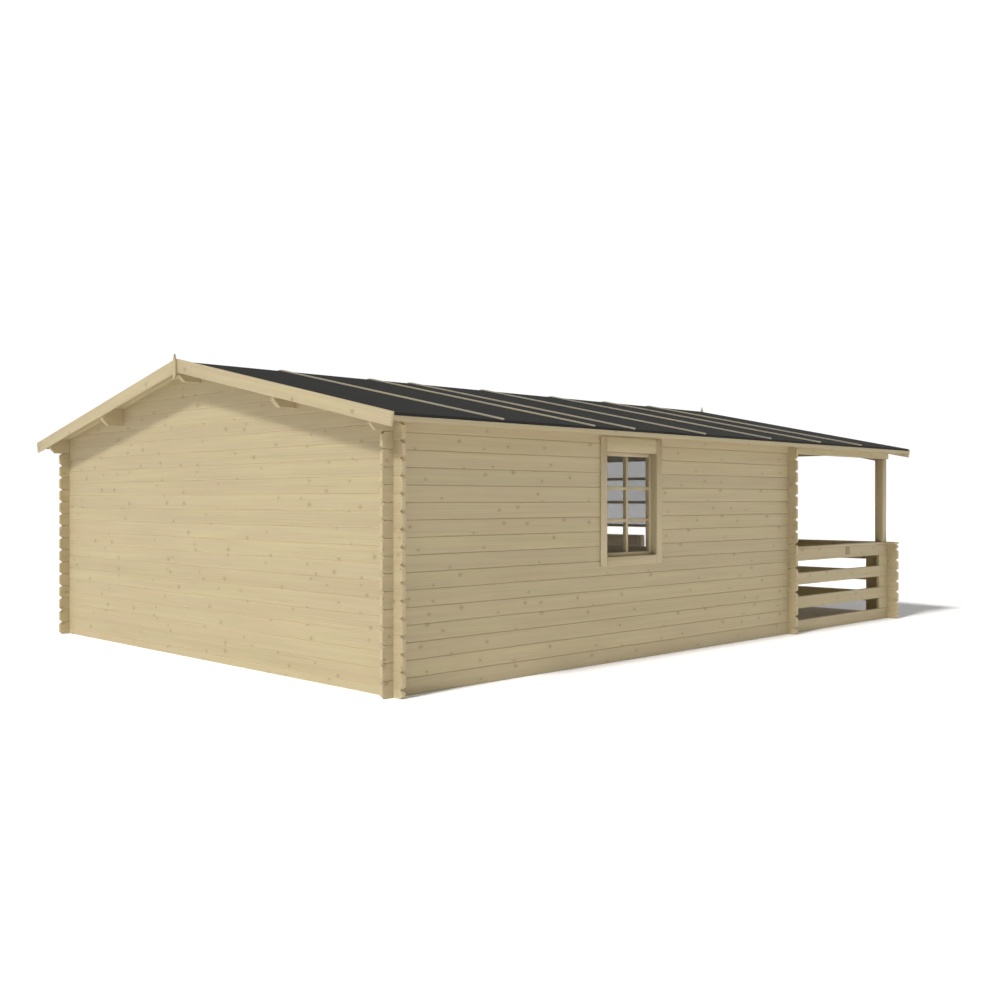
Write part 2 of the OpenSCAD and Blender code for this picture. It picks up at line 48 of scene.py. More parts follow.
# Radius of eased edges in metres: of most boards, of trim, and of posts and rail tops
ARRIS = 0.002
ROUND_ARRIS = 0.003
POST_ARRIS = 0.004
# Share of that radius that is left where a board is drawn in at its ends
END_ARRIS = 0.6
# Edges that turn by more than this are shaded sharp
SHARP_DEG = 50.0
# Upward part of a bar's direction from which it counts as upright
STEEP = 0.9
# Points round a nail head
NAIL_SIDES = 8

Number = Union[float, "Val"]
Pair = tuple[float, float]
Triple = tuple[float, float, float]
Colour = Triple
Shape = tuple[np.ndarray, list[list[int]]]


@dataclass(frozen=True)
class Plan:
    """Sizes that the finishes and the added joinery share with the solids, in metres."""

    side_x: float = 2.5
    back_y: float = 3.459
    front_y: float = -1.511
    porch_y: float = -3.594
    log_h: float = 0.117
    log_t: float = 0.028
    slope_deg: float = 11.7
    eave_z: float = 1.884
    roof_t: float = 0.019
    felt_t: float = 0.003
    edge_x: float = 2.728
    back_over: float = 0.190
    front_over: float = 0.005

    @property
    def slope(self) -> float:
        """Rise of the roof per metre across the cabin."""
        return math.tan(math.radians(self.slope_deg))

    def roof_z(self, x: float) -> float:
        """Height of the roof boards' underside at x."""
        return self.eave_z + (self.side_x - abs(x)) * self.slope


PLAN = Plan()


class Val:
    """A number in a shader: wraps an output socket, so that arithmetic adds Math nodes."""

    def __init__(self, graph: "Graph", socket: bpy.types.NodeSocket) -> None:
        """Keeps the graph and the socket."""
        self.graph = graph
        self.socket = socket

    def math(self, operation: str, *others: Number) -> "Val":
        """Adds a Math node with this value first.

        Args:
            operation: Blender's name of the operation.
            others: The node's further inputs, numbers or values.

        Returns:
            The node's result.
        """
        return self.graph.math(operation, self, *others)

    def __add__(self, other: Number) -> "Val":
        """Sum."""
        return self.math("ADD", other)

    def __sub__(self, other: Number) -> "Val":
        """Difference."""
        return self.math("SUBTRACT", other)

    def __rsub__(self, other: float) -> "Val":
        """Difference from a number."""
        return self.graph.math("SUBTRACT", other, self)

    def __mul__(self, other: Number) -> "Val":
        """Product."""
        return self.math("MULTIPLY", other)

    def __truediv__(self, other: Number) -> "Val":
        """Quotient."""
        return self.math("DIVIDE", other)

    def __pow__(self, other: Number) -> "Val":
        """Power."""
        return self.math("POWER", other)

    def ease(self, low: float, high: float) -> "Val":
        """Smooth step from 0 at low to 1 at high."""
        node = self.graph.node("ShaderNodeMapRange", {"interpolation_type": "SMOOTHSTEP"},
                               {"Value": self, "From Min": low, "From Max": high})
        return Val(self.graph, node.outputs["Result"])


class Graph:
    """The node tree of one material."""

    def __init__(self, name: str) -> None:
        """Starts an empty material of that name."""
        self.material = bpy.data.materials.new(name)
        self.material.use_nodes = True
        self.tree = self.material.node_tree
        self.tree.nodes.clear()

    def node(self, kind: str, settings: dict | None = None, sockets: dict | None = None) -> bpy.types.Node:
        """Adds any node.

        Args:
            kind: The node's type.
            settings: The node's own settings, which are set first.
            sockets: Values or links by socket name or number.

        Returns:
            The new node.
        """
        node = self.tree.nodes.new(kind)
        for key, value in (settings or {}).items():
            setattr(node, key, value)
        for key, value in (sockets or {}).items():
            if isinstance(value, Val):
                value = value.socket
            if isinstance(value, bpy.types.NodeSocket):
                self.tree.links.new(value, node.inputs[key])
            else:
                node.inputs[key].default_value = value
        return node

    def math(self, operation: str, *inputs: Number) -> Val:
        """Adds a Math node and returns its result."""
        node = self.node("ShaderNodeMath", {"operation": operation}, dict(enumerate(inputs)))
        return Val(self, node.outputs[0])

    def vector(self, x: Number, y: Number, z: Number) -> bpy.types.NodeSocket:
        """Joins three numbers into a vector."""
        return self.node("ShaderNodeCombineXYZ", None, {0: x, 1: y, 2: z}).outputs[0]

    def split(self, socket: bpy.types.NodeSocket) -> list[Val]:
        """Splits a vector into its three numbers."""
        node = self.node("ShaderNodeSeparateXYZ", None, {0: socket})
        return [Val(self, out) for out in node.outputs]

    def place(self) -> list[Val]:
        """Object coordinates as three numbers."""
        return self.split(self.node("ShaderNodeTexCoord").outputs["Object"])

    def noise(self, vector: bpy.types.NodeSocket, scale: float, detail: float = 2.0) -> Val:
        """Fractal noise from 0 to 1 at a vector."""
        node = self.node("ShaderNodeTexNoise", None, {"Vector": vector, "Scale": scale, "Detail": detail})
        return Val(self, node.outputs["Fac"])

    def chance(self, key: Val) -> list[Val]:
        """Three random numbers that depend on a whole number."""
        node = self.node("ShaderNodeTexWhiteNoise", {"noise_dimensions": "1D"}, {"W": key})
        return self.split(node.outputs["Color"])

    def mix(self, factor: Number, first: object, second: object, blend: str = "MIX") -> bpy.types.NodeSocket:
        """Mixes two colours."""
        node = self.node("ShaderNodeMix", {"data_type": "RGBA", "blend_type": blend},
                         {0: factor, 6: rgba(first), 7: rgba(second)})
        return node.outputs[2]

    def bump(self, height: Val, strength: float, distance: float) -> bpy.types.NodeSocket:
        """Bumps the surface by a height."""
        node = self.node("ShaderNodeBump", None,
                         {"Height": height, "Strength": strength, "Distance": distance})
        return node.outputs["Normal"]

    def surface(self, sockets: dict) -> bpy.types.Material:
        """Ends the tree with a Principled shader.

        Args:
            sockets: Values or links of the shader's sockets.

        Returns:
            The finished material.
        """
        shader = self.node("ShaderNodeBsdfPrincipled", None, sockets)
        self.node("ShaderNodeOutputMaterial", None, {"Surface": shader.outputs[0]})
        return self.material


def rgba(colour: object) -> object:
    """A colour of three numbers with its alpha added, and any socket as it is."""
    return (*colour, 1.0) if isinstance(colour, tuple) and len(colour) == 3 else colour


class Grain(Enum):
    """Ways that the grain of a board can run."""

    ALONG_X = "x"
    ALONG_Y = "y"
    UPRIGHT = "z"
    UPRIGHT_X = "z with the face along x"
    FLAT_Y = "flat y"
    LEFT_SLOPE = "left slope"
    RIGHT_SLOPE = "right slope"
    LEFT_SOFFIT = "left soffit"
    RIGHT_SOFFIT = "right soffit"

    def axes(self) -> tuple[Triple, Triple, Triple]:
        """Directions of a board, which the shaders measure along.

        Returns:
            Unit vectors along the grain, across the board's face and through the board.
        """
        c, s = math.cos(math.radians(PLAN.slope_deg)), math.sin(math.radians(PLAN.slope_deg))
        return {
            Grain.ALONG_X: ((1, 0, 0), (0, 0, 1), (0, 1, 0)),
            Grain.ALONG_Y: ((0, 1, 0), (0, 0, 1), (1, 0, 0)),
            Grain.UPRIGHT: ((0, 0, 1), (0, 1, 0), (1, 0, 0)),
            Grain.UPRIGHT_X: ((0, 0, 1), (1, 0, 0), (0, 1, 0)),
            Grain.FLAT_Y: ((0, 1, 0), (1, 0, 0), (0, 0, 1)),
            Grain.LEFT_SLOPE: ((c, 0, s), (-s, 0, c), (0, 1, 0)),
            Grain.RIGHT_SLOPE: ((-c, 0, s), (s, 0, c), (0, 1, 0)),
            Grain.LEFT_SOFFIT: ((c, 0, s), (0, 1, 0), (-s, 0, c)),
            Grain.RIGHT_SOFFIT: ((-c, 0, s), (0, 1, 0), (s, 0, c)),
        }[self]


@dataclass(frozen=True)
class Figure:
    """The figure of the wood, the same in all the pine.

    Each stretch is a noise's scale along the grain, across it and through the board. Each range is
    where an eased step starts and ends, and each share is how much of a colour is mixed in.
    """

    drift_stretch: Triple = (0.55, 5.0, 5.0)
    fibre_stretch: Triple = (3.0, 210.0, 210.0)
    cloud_stretch: Triple = (0.8, 13.0, 9.0)
    cloud_scale: float = 1.3
    band_stretch: Triple = (0.9, 34.0, 20.0)
    board_shift: float = 31.0
    growth_step: float = 0.0190
    growth_lean: float = 0.7
    growth_drift: float = 0.085
    growth_bend: float = 0.012
    growth_shift: float = 6.0
    growth_power: float = 2.2
    growth_range: Pair = (0.36, 0.62)
    growth_share: float = 0.50
    fibre_share: float = 0.35
    cloud_shift: float = 9.0
    rosy_range: Pair = (0.42, 0.68)
    rosy_share: float = 0.60
    straw_range: Pair = (0.34, 0.50)
    straw_share: float = 0.42
    tone_least: float = 0.827
    board_tone: float = 0.055
    fibre_tone: float = 0.07
    band_tone: float = 0.22
    # Distances from where two logs meet over which the painted groove shade fades out.
    groove_shade_range: Pair = (0.0015, 0.0065)
    ring_step: float = 0.0036
    ring_tones: Pair = (1.14, 1.18)
    heart_up: float = 0.09
    heart_off: float = 0.05
    heart_fold: float = 0.4
    cut_range: Pair = (0.80, 0.95)
    knot_shift: float = 40.0
    knot_skip: float = 2.0
    knot_least: float = 0.0095
    knot_spread: float = 0.0090
    knot_range: Pair = (0.15, 1.50)
    dark_share: float = 0.54
    knot_bend: float = -1400.0
    bend_share: float = 0.20


FIGURE = Figure()


@dataclass(frozen=True)
class Pine:
    """Planed pine: streaked grain, growth lines that bend round knots, ringed end grain."""

    name: str
    grain: Grain
    pitch: float = PLAN.log_h
    shift: float = 0.0
    seed: float = 0.0
    pale: Colour = (0.548, 0.466, 0.292)
    deep: Colour = (0.472, 0.384, 0.222)
    rosy: Colour = (0.534, 0.424, 0.270)
    straw: Colour = (0.560, 0.482, 0.276)
    knot: Colour = (0.300, 0.212, 0.122)
    knot_cell: float = 0.30
    knot_share: float = 0.60
    knot_stretch: float = 1.45
    tone: float = 1.0
    # Painted groove shade: how much the colour darkens where two logs meet; below zero it is painted light
    # that lightens the groove.
    painted_groove_shade: float = 0.0

    def build(self) -> bpy.types.Material:
        """Makes the material.

        Each board has a number, its place across the grain divided by the pitch, which draws its tone
        and shifts its pattern. Growth lines are a sine of the place across the grain, pushed about by
        noise that is long along the grain and by a bump round each knot.

        Returns:
            The material.
        """
        g = Graph(self.name)
        place = g.place()
        along, across, through = (self.direction(place, axis) for axis in self.grain.axes())
        board = (across / self.pitch + self.shift).math("FLOOR")
        luck = g.chance(board + (self.seed + 0.5))
        shifted = along + luck[0] * FIGURE.board_shift
        knot, near = self.knots(g, along, across, board, luck)

        drift = self.streaks(g, (shifted, across, through), FIGURE.drift_stretch, 3.0)
        fibre = self.streaks(g, (shifted, across, through), FIGURE.fibre_stretch, 2.0)
        band = self.streaks(g, (shifted, across, through), FIGURE.band_stretch, 3.0)
        bend = drift * FIGURE.growth_drift + near * FIGURE.growth_bend
        lines = across + through * FIGURE.growth_lean + bend
        turn = lines * (2 * math.pi / FIGURE.growth_step) + luck[1] * FIGURE.growth_shift
        wave = turn.math("SINE") * 0.5 + 0.5
        late = (wave ** FIGURE.growth_power) * drift.ease(*FIGURE.growth_range)
        a, b, c = FIGURE.cloud_stretch
        where = g.vector(shifted * a, across * b + luck[2] * FIGURE.cloud_shift, through * c)
        cloud = g.noise(where, FIGURE.cloud_scale)

        streak = late * FIGURE.growth_share + fibre * FIGURE.fibre_share
        colour = g.mix(streak, self.pale, self.deep)
        colour = g.mix(cloud.ease(*FIGURE.rosy_range) * FIGURE.rosy_share, colour, self.rosy)
        colour = g.mix((1.0 - cloud.ease(*FIGURE.straw_range)) * FIGURE.straw_share, colour, self.straw)
        # Painted shade darkens the colour where two logs meet, or painted light lightens it there when the
        # share is below zero.
        edge = (across / self.pitch + self.shift).math("FRACT").math("PINGPONG", 0.5) * self.pitch
        groove_shading = (1.0 - edge.ease(*FIGURE.groove_shade_range)) * -self.painted_groove_shade + 1.0
        shade = luck[2] * FIGURE.board_tone + fibre * FIGURE.fibre_tone + band * FIGURE.band_tone
        tone = (shade + FIGURE.tone_least) * groove_shading * self.tone
        colour = g.mix(1.0, colour, g.vector(tone, tone, tone), "MULTIPLY")
        colour = g.mix(near * FIGURE.bend_share, colour, self.deep)
        colour = g.mix(knot * FIGURE.dark_share, colour, self.knot)
        colour = self.end_grain(g, colour, across, through, board, luck)

        height = fibre * 0.5 + late * 0.35 - knot * 0.4
        return g.surface({
            "Base Color": colour,
            "Roughness": fibre * 0.14 + 0.56 - knot * 0.12,
            "Specular IOR Level": 0.32,
            "Normal": g.bump(height, 0.35, 0.0012),
        })

    @staticmethod
    def streaks(g: Graph, place: Sequence[Val], stretch: Triple, detail: float) -> Val:
        """Noise at a place whose three numbers are scaled by the stretch."""
        return g.noise(g.vector(*(p * s for p, s in zip(place, stretch))), 1.0, detail)

    @staticmethod
    def direction(place: Sequence[Val], axis: Triple) -> Val:
        """Distance along an axis: the sum of the coordinates times the axis's parts."""
        parts = [p * a for p, a in zip(place, axis) if a]
        return parts[0] if len(parts) == 1 else parts[0] + parts[1]

    def knots(self, g: Graph, along: Val, across: Val, board: Val, luck: Sequence[Val]) -> tuple[Val, Val]:
        """Knots, longer along the grain, at one random point in each cell of a board, some left out.

        Args:
            g: The graph.
            along: Distance along the grain.
            across: Distance across the grain.
            board: The board's number.
            luck: The board's random numbers.

        Returns:
            The knots' mask and the wider bump that bends the grain round them.
        """
        u = along / self.knot_cell + luck[0] * FIGURE.knot_shift
        v = across / self.pitch + board * FIGURE.knot_skip
        cell = g.vector(u, v, 0.0)
        node = g.node("ShaderNodeTexVoronoi", {"voronoi_dimensions": "2D"},
                      {"Vector": cell, "Scale": 1.0, "Randomness": 0.95})
        spot = g.split(node.outputs["Position"])
        draw = g.split(node.outputs["Color"])
        du, dv = (u - spot[0]) * self.knot_cell / self.knot_stretch, (v - spot[1]) * self.pitch
        far = (du * du + dv * dv).math("SQRT")
        here = draw[0].math("LESS_THAN", self.knot_share)
        size = draw[1] * draw[1] * FIGURE.knot_spread + FIGURE.knot_least
        core = (1.0 - (far / size).ease(*FIGURE.knot_range)) * here
        near = (far * far * FIGURE.knot_bend).math("EXPONENT") * here
        return core, near

    def end_grain(self, g: Graph, colour: bpy.types.NodeSocket, across: Val, through: Val, board: Val,
                  luck: Sequence[Val]) -> bpy.types.NodeSocket:
        """Darker ringed wood on faces cut across the grain.

        The rings are a sine of the distance from a heart that lies off the board's middle.

        Args:
            g: The graph.
            colour: The colour of the long faces.
            across: Distance across the grain.
            through: Distance through the board.
            board: The board's number.
            luck: The board's random numbers.

        Returns:
            The colour of the whole board.
        """
        normal = g.split(g.node("ShaderNodeNewGeometry").outputs["Normal"])
        facing = self.direction(normal, self.grain.axes()[0]).math("ABSOLUTE")
        up = across - (board + 0.5 - self.shift) * self.pitch + (luck[0] - 0.5) * FIGURE.heart_up
        off = through.math("PINGPONG", FIGURE.heart_fold) + luck[1] * FIGURE.heart_off
        far = (up * up + off * off).math("SQRT")
        ring = (far * (2 * math.pi / FIGURE.ring_step)).math("SINE") * 0.5 + 0.5
        dark, light = (tuple(part * self.tone * p for p in wood)
                       for part, wood in zip(FIGURE.ring_tones, (self.deep, self.rosy)))
        return g.mix(facing.ease(*FIGURE.cut_range), colour, g.mix(ring, dark, light))


@dataclass(frozen=True)
class Felt:
    """Mineral roof felt: dark grit in fine grains, lighter in worn patches."""

    name: str = "roof_felt_grit"
    dark: Colour = (0.0135, 0.0132, 0.0122)
    light: Colour = (0.0330, 0.0324, 0.0300)
    grit_scale: float = 520.0
    speck_scale: float = 160.0
    patch_scale: float = 2.2

    def build(self) -> bpy.types.Material:
        """Makes the material: small cells of grit, specks and wide patches mix dark and light.

        Returns:
            The material.
        """
        g = Graph(self.name)
        place = g.vector(*g.place())
        grit = g.node("ShaderNodeTexVoronoi", None, {"Vector": place, "Scale": self.grit_scale})
        grain = g.split(grit.outputs["Color"])[0]
        patch = g.noise(place, self.patch_scale, 4.0)
        speck = g.noise(place, self.speck_scale)
        colour = g.mix(grain * 0.35 + patch * 0.35 + speck * 0.3, self.dark, self.light)
        return g.surface({
            "Base Color": colour,
            "Roughness": grain * 0.1 + 0.84,
            "Specular IOR Level": 0.25,
            "Normal": g.bump(grain * 0.6 + speck * 0.4, 0.5, 0.0015),
        })


@dataclass(frozen=True)
class Glass:
    """Flat window glass seen through, with a faint film that varies over the pane."""

    name: str
    colour: Colour
    film: float
    spread: float

    def build(self) -> bpy.types.Material:
        """Makes the material: a thin film, whose alpha varies with noise, over a clear pane.

        Returns:
            The material.
        """
        g = Graph(self.name)
        place = g.vector(*g.place())
        dust = g.noise(place, 3.0, 4.0)
        return g.surface({
            "Base Color": g.mix(dust, self.colour, tuple(1.1 * c for c in self.colour)),
            "Roughness": dust * 0.05 + 0.02,
            "IOR": 1.5,
            "Alpha": dust * self.spread + self.film,
        })


@dataclass(frozen=True)
class Metal:
    """Brushed or zinc-plated fittings."""

    name: str
    colour: Colour
    rough: float = 0.34
    brush: Triple = (60.0, 60.0, 900.0)

    def build(self) -> bpy.types.Material:
        """Makes the material: brush marks in its roughness and bump, clouds in its colour.

        Returns:
            The material.
        """
        g = Graph(self.name)
        place = g.place()
        brushed = g.noise(g.vector(*(p * s for p, s in zip(place, self.brush))), 1.0)
        cloud = g.noise(g.vector(*place), 40.0, 3.0)
        return g.surface({
            "Base Color": g.mix(cloud, self.colour, tuple(0.8 * c for c in self.colour)),
            "Metallic": 1.0,
            "Roughness": brushed * 0.16 + self.rough,
            "Normal": g.bump(brushed, 0.15, 0.0004),
        })


class Pile:
    """Collects the points and faces of several shapes that make one piece."""

    def __init__(self) -> None:
        """Starts empty."""
        self.points: list[np.ndarray] = []
        self.faces: list[list[int]] = []
        self.count = 0

    def add(self, shape: Shape) -> None:
        """Adds a shape.

        Args:
            shape: Its points, and its faces as lists of point numbers.
        """
        points, faces = shape
        self.points.append(np.asarray(points, dtype=float).reshape(-1, 3))
        self.faces += [[self.count + int(i) for i in face] for face in faces]
        self.count += len(self.points[-1])

    def piece(self, name: str, finish: bpy.types.Material, slot: str, replaces: Sequence[str] = ()) -> None:
        """Makes the object, which rides on the cabin.

        Args:
            name: Name of the piece.
            finish: Its material.
            slot: Name of the record's material slot; not used.
            replaces: CAD nodes that it stands for.
        """
        mesh = bpy.data.meshes.new(name)
        mesh.from_pydata(np.concatenate(self.points).tolist(), [], self.faces)
        mesh.materials.append(finish)
        mesh.shade_smooth()
        mesh.set_sharp_from_angle(angle=math.radians(SHARP_DEG))
        mesh.update()
        piece = bpy.data.objects.new(name, mesh)
        bpy.context.scene.collection.objects.link(piece)
        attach(piece, ROOT)
        if replaces:
            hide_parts(*replaces)
        LOG.info("%s: %d faces", name, len(self.faces))


def ring_faces(rings: int, sides: int) -> list[list[int]]:
    """Faces of a swept closed profile: quads between neighbouring rings, and a face at both ends.

    Args:
        rings: Number of rings.
        sides: Number of points in a ring.

    Returns:
        Lists of point numbers.
    """
    i, j = np.meshgrid(np.arange(rings - 1), np.arange(sides), indexing="ij")
    k = (j + 1) % sides
    quads = np.stack([i * sides + j, i * sides + k, (i + 1) * sides + k, (i + 1) * sides + j], axis=-1)
    ends = [list(range(sides))[::-1], list(range((rings - 1) * sides, rings * sides))]
    return quads.reshape(-1, 4).tolist() + ends


def board(start: Sequence[float], end: Sequence[float], u: Sequence[float], v: Sequence[float],
          width: float, depth: float, arris: float = ARRIS) -> Shape:
    """A straight board with all its edges eased.

    The profile is a rectangle whose corners are quarter circles of three points. It is carried from
    start to end, and drawn in by the arris at both ends.

    Args:
        start: Middle of one end.
        end: Middle of the other end.
        u: Direction of the width.
        v: Direction of the depth, so that u, v and the way from start to end are right-handed.
        width: Size along u.
        depth: Size along v.
        arris: Radius of the eased edges.

    Returns:
        Points and faces.
    """
    start, end, u, v = (np.asarray(p, dtype=float) for p in (start, end, u, v))
    length = np.linalg.norm(end - start)
    turn = np.radians(np.array([0, 45, 90]))[None, :] + np.radians(np.array([0, 90, 180, 270]))[:, None]
    sign = np.array([[1, 1], [-1, 1], [-1, -1], [1, -1]])[:, None, :]
    arc = np.stack([np.cos(turn), np.sin(turn)], axis=-1)
    half = np.array([width, depth]) / 2
    core = (sign * (half - arris) + arris * arc).reshape(-1, 2)
    small = END_ARRIS * arris
    tight = (sign * (half - arris - small) + small * arc).reshape(-1, 2)
    rings = np.stack([tight, core, core, tight])
    steps = np.array([0.0, arris, length - arris, length]) / length
    path = start + steps[:, None] * (end - start)
    points = path[:, None, :] + rings[..., :1] * u + rings[..., 1:] * v
    return points.reshape(-1, 3), ring_faces(4, 12)


def box_board(low: Sequence[float], high: Sequence[float], axis: int, arris: float = ARRIS) -> Shape:
    """A board that fills a box.

    Args:
        low: One corner.
        high: The corner opposite.
        axis: The axis along the board.
        arris: Radius of the eased edges.

    Returns:
        Points and faces.
    """
    low, high = (np.asarray(p, dtype=float) for p in (low, high))
    low, high = np.minimum(low, high), np.maximum(low, high)
    middle = (low + high) / 2
    a, b = (axis + 1) % 3, (axis + 2) % 3
    start, end = middle.copy(), middle.copy()
    start[axis], end[axis] = low[axis], high[axis]
    unit = np.eye(3)
    return board(start, end, unit[a], unit[b], high[a] - low[a], high[b] - low[b], arris)


def wound(outline: np.ndarray) -> np.ndarray:
    """Turns a clockwise outline round.

    Args:
        outline: The corners in order.

    Returns:
        The corners, anticlockwise.
    """
    x, y = outline[:, 0], outline[:, 1]
    area = np.sum(x * np.roll(y, -1) - np.roll(x, -1) * y)
    return outline if area > 0 else outline[::-1]


def inset(outline: np.ndarray, by: float) -> np.ndarray:
    """Draws an outline in: each corner moves along its bisector until both its edges have moved.

    Args:
        outline: The corners, anticlockwise.
        by: How far each edge moves.

    Returns:
        The corners of the smaller outline.
    """
    edge = np.roll(outline, -1, axis=0) - outline
    edge /= np.linalg.norm(edge, axis=1, keepdims=True)
    inward = np.stack([-edge[:, 1], edge[:, 0]], axis=1)
    before = np.roll(inward, 1, axis=0)
    lean = 1.0 + np.sum(inward * before, axis=1, keepdims=True)
    return outline + by * (inward + before) / lean


def plate(outline: Sequence[Sequence[float]], axis: int, low: float, high: float,
          arris: float = ARRIS) -> Shape:
    """A flat board of any outline with eased edges.

    The outline is carried along the axis from low to high, and drawn in by the arris at both faces.

    Args:
        outline: Corners in the two axes that follow the given one.
        axis: The axis through the board.
        low: Where one face lies.
        high: Where the other face lies.
        arris: Width of the eased edge.

    Returns:
        Points and faces.
    """
    shape = wound(np.asarray(outline, dtype=float))
    rings = np.stack([inset(shape, arris), shape, shape, inset(shape, arris)])
    points = np.zeros((4, len(shape), 3))
    points[:, :, axis] = np.array([low, low + arris, high - arris, high])[:, None]
    points[:, :, (axis + 1) % 3] = rings[..., 0]
    points[:, :, (axis + 2) % 3] = rings[..., 1]
    return points.reshape(-1, 3), ring_faces(4, len(shape))


def grooved(loop: Sequence[Sequence[float]], move: Sequence[Sequence[float]], axis: int, start: float,
            end: float, width: float, half: float = 0.003) -> Shape:
    """A panel of boards side by side with V grooves between them.

    A loop of corners is carried along the axis. Where two boards meet, the corners move by the groove's
    depth, so a face is a row of flat boards with a V between neighbours.

    Args:
        loop: The corners in the two axes that follow the given one, anticlockwise.
        move: How far each corner moves at a joint.
        axis: The axis across the boards.
        start: Where the first board starts.
        end: Where the last board ends.
        width: Width of one board.
        half: Half the width of a groove.

    Returns:
        Points and faces.
    """
    loop, move = np.asarray(loop, dtype=float), np.asarray(move, dtype=float)
    joints = np.arange(start + width, end - half * 2, width)
    vees = np.stack([joints - half, joints, joints + half], axis=1).ravel()
    places = np.concatenate([[start], vees, [end]])
    cut = np.concatenate([[0.0], np.tile([0.0, 1.0, 0.0], len(joints)), [0.0]])
    flat = loop[None] + cut[:, None, None] * move[None]
    points = np.zeros((len(places), len(loop), 3))
    points[:, :, axis] = places[:, None]
    points[:, :, (axis + 1) % 3] = flat[..., 0]
    points[:, :, (axis + 2) % 3] = flat[..., 1]
    return points.reshape(-1, 3), ring_faces(len(places), len(loop))


def nail_heads(places: Sequence[Sequence[float]], u: Sequence[float], v: Sequence[float],
               radius: float = 0.0038, rise: float = 0.0011, crown: float = 0.70) -> Shape:
    """Low nail heads: at each place a ring, a smaller raised ring, and a face on both.

    Args:
        places: Middles of the heads on the surface.
        u: One direction in the surface.
        v: The other, so that u, v and the way out are right-handed.
        radius: Radius of a head.
        rise: Height of a head.
        crown: Radius of its top as a share of the radius.

    Returns:
        Points and faces.
    """
    places, u, v = (np.asarray(p, dtype=float) for p in (places, u, v))
    turn = np.arange(NAIL_SIDES) * 2 * math.pi / NAIL_SIDES
    circle = np.cos(turn)[:, None] * u + np.sin(turn)[:, None] * v
    shape = np.concatenate([circle * radius, circle * radius * crown + np.cross(u, v) * rise])
    points = places[:, None, :] + shape[None]
    one = ring_faces(2, NAIL_SIDES)
    faces = [[i + k * len(shape) for i in face] for k in range(len(places)) for face in one]
    return points.reshape(-1, 3), faces


def tube(path: Sequence[Sequence[float]], radius: float, sides: int = 14) -> Shape:
    """A round bar: a circle square to the path's direction is carried along the path's points.

    Args:
        path: Points along the bar's middle.
        radius: Radius of the bar.
        sides: Number of points round it.

    Returns:
        Points and faces.
    """
    path = np.asarray(path, dtype=float)
    way = np.gradient(path, axis=0)
    way /= np.linalg.norm(way, axis=1, keepdims=True)
    hint = np.array([0.0, 0.0, 1.0]) if abs(way[:, 2]).max() < STEEP else np.array([1.0, 0.0, 0.0])
    u = np.cross(hint, way)
    u /= np.linalg.norm(u, axis=1, keepdims=True)
    v = np.cross(way, u)
    turn = np.arange(sides)[None, :, None] * 2 * math.pi / sides
    points = path[:, None] + radius * (np.cos(turn) * u[:, None] + np.sin(turn) * v[:, None])
    return points.reshape(-1, 3), ring_faces(len(path), sides)


WEATHERED = {"pale": (0.47, 0.43, 0.33), "deep": (0.41, 0.36, 0.26), "rosy": (0.45, 0.40, 0.30),
             "knot_share": 0.2}


class Timber(Enum):
    """The pine finishes of the cabin."""

    # The side logs get painted shade in their grooves, the gable logs painted light in theirs.
    SIDE_LOGS = Pine("pine_side_logs", Grain.ALONG_Y, painted_groove_shade=0.13)
    GABLE_LOGS = Pine("pine_gable_logs", Grain.ALONG_X, shift=0.5, seed=60.0, painted_groove_shade=-0.12)
    BEAM = Pine("pine_beams", Grain.ALONG_Y, pitch=0.5, seed=130.0)
    CROSS_BOARD = Pine("pine_cross_boards", Grain.ALONG_X, pitch=0.3, seed=170.0, knot_share=0.3)
    LONG_BOARD = Pine("pine_long_boards", Grain.ALONG_Y, pitch=0.3, seed=190.0, knot_share=0.3)
    UPRIGHT = Pine("pine_uprights", Grain.UPRIGHT, pitch=0.3, seed=210.0, knot_share=0.3)
    DOOR_BOARDS = Pine("pine_door_boards", Grain.UPRIGHT_X, pitch=0.0863, seed=220.0)
    LEFT_BARGE = Pine("pine_left_bargeboards", Grain.LEFT_SLOPE, pitch=0.4, seed=230.0, tone=1.03)
    RIGHT_BARGE = Pine("pine_right_bargeboards", Grain.RIGHT_SLOPE, pitch=0.4, seed=250.0, tone=1.03)
    LEFT_SOFFIT = Pine("pine_left_soffit", Grain.LEFT_SOFFIT, pitch=0.096, seed=270.0)
    RIGHT_SOFFIT = Pine("pine_right_soffit", Grain.RIGHT_SOFFIT, pitch=0.096, seed=300.0)
    # The porch floor's tone of 0.68 darkens it as painted shade under the porch roof.
    PORCH_FLOOR = Pine("pine_porch_floor", Grain.FLAT_Y, pitch=0.112, seed=330.0, tone=0.68)
    ROOM_FLOOR = Pine("pine_room_floor", Grain.FLAT_Y, pitch=0.112, seed=340.0, tone=1.12)
    PLUG = Pine("pine_rail_plugs", Grain.ALONG_X, pitch=0.3, seed=350.0, tone=0.60)
    LEFT_BATTEN = Pine("pine_left_battens", Grain.LEFT_SLOPE, pitch=0.4, seed=370.0, **WEATHERED)
    RIGHT_BATTEN = Pine("pine_right_battens", Grain.RIGHT_SLOPE, pitch=0.4, seed=390.0, **WEATHERED)


class Finishes:
    """All materials, made once and shared."""

    def __init__(self) -> None:
        """Starts with none."""
        self.made: dict[str, bpy.types.Material] = {}

    def get(self, finish: Timber | Felt | Glass | Metal) -> bpy.types.Material:
        """Finds a finish's material, and builds it on its first use.

        Args:
            finish: The finish.

        Returns:
            Its material.
        """
        finish = finish.value if isinstance(finish, Timber) else finish
        if finish.name not in self.made:
            self.made[finish.name] = finish.build()
        return self.made[finish.name]


CLEAR_GLASS = Glass("clear_glass", (0.40, 0.43, 0.45), 0.02, 0.03)
SMOKED_GLASS = Glass("smoked_glass", (0.24, 0.25, 0.26), 0.42, 0.08)
STEEL = Metal("brushed_steel", (0.56, 0.56, 0.57))
ZINC = Metal("zinc_nails", (0.46, 0.46, 0.47), 0.42)


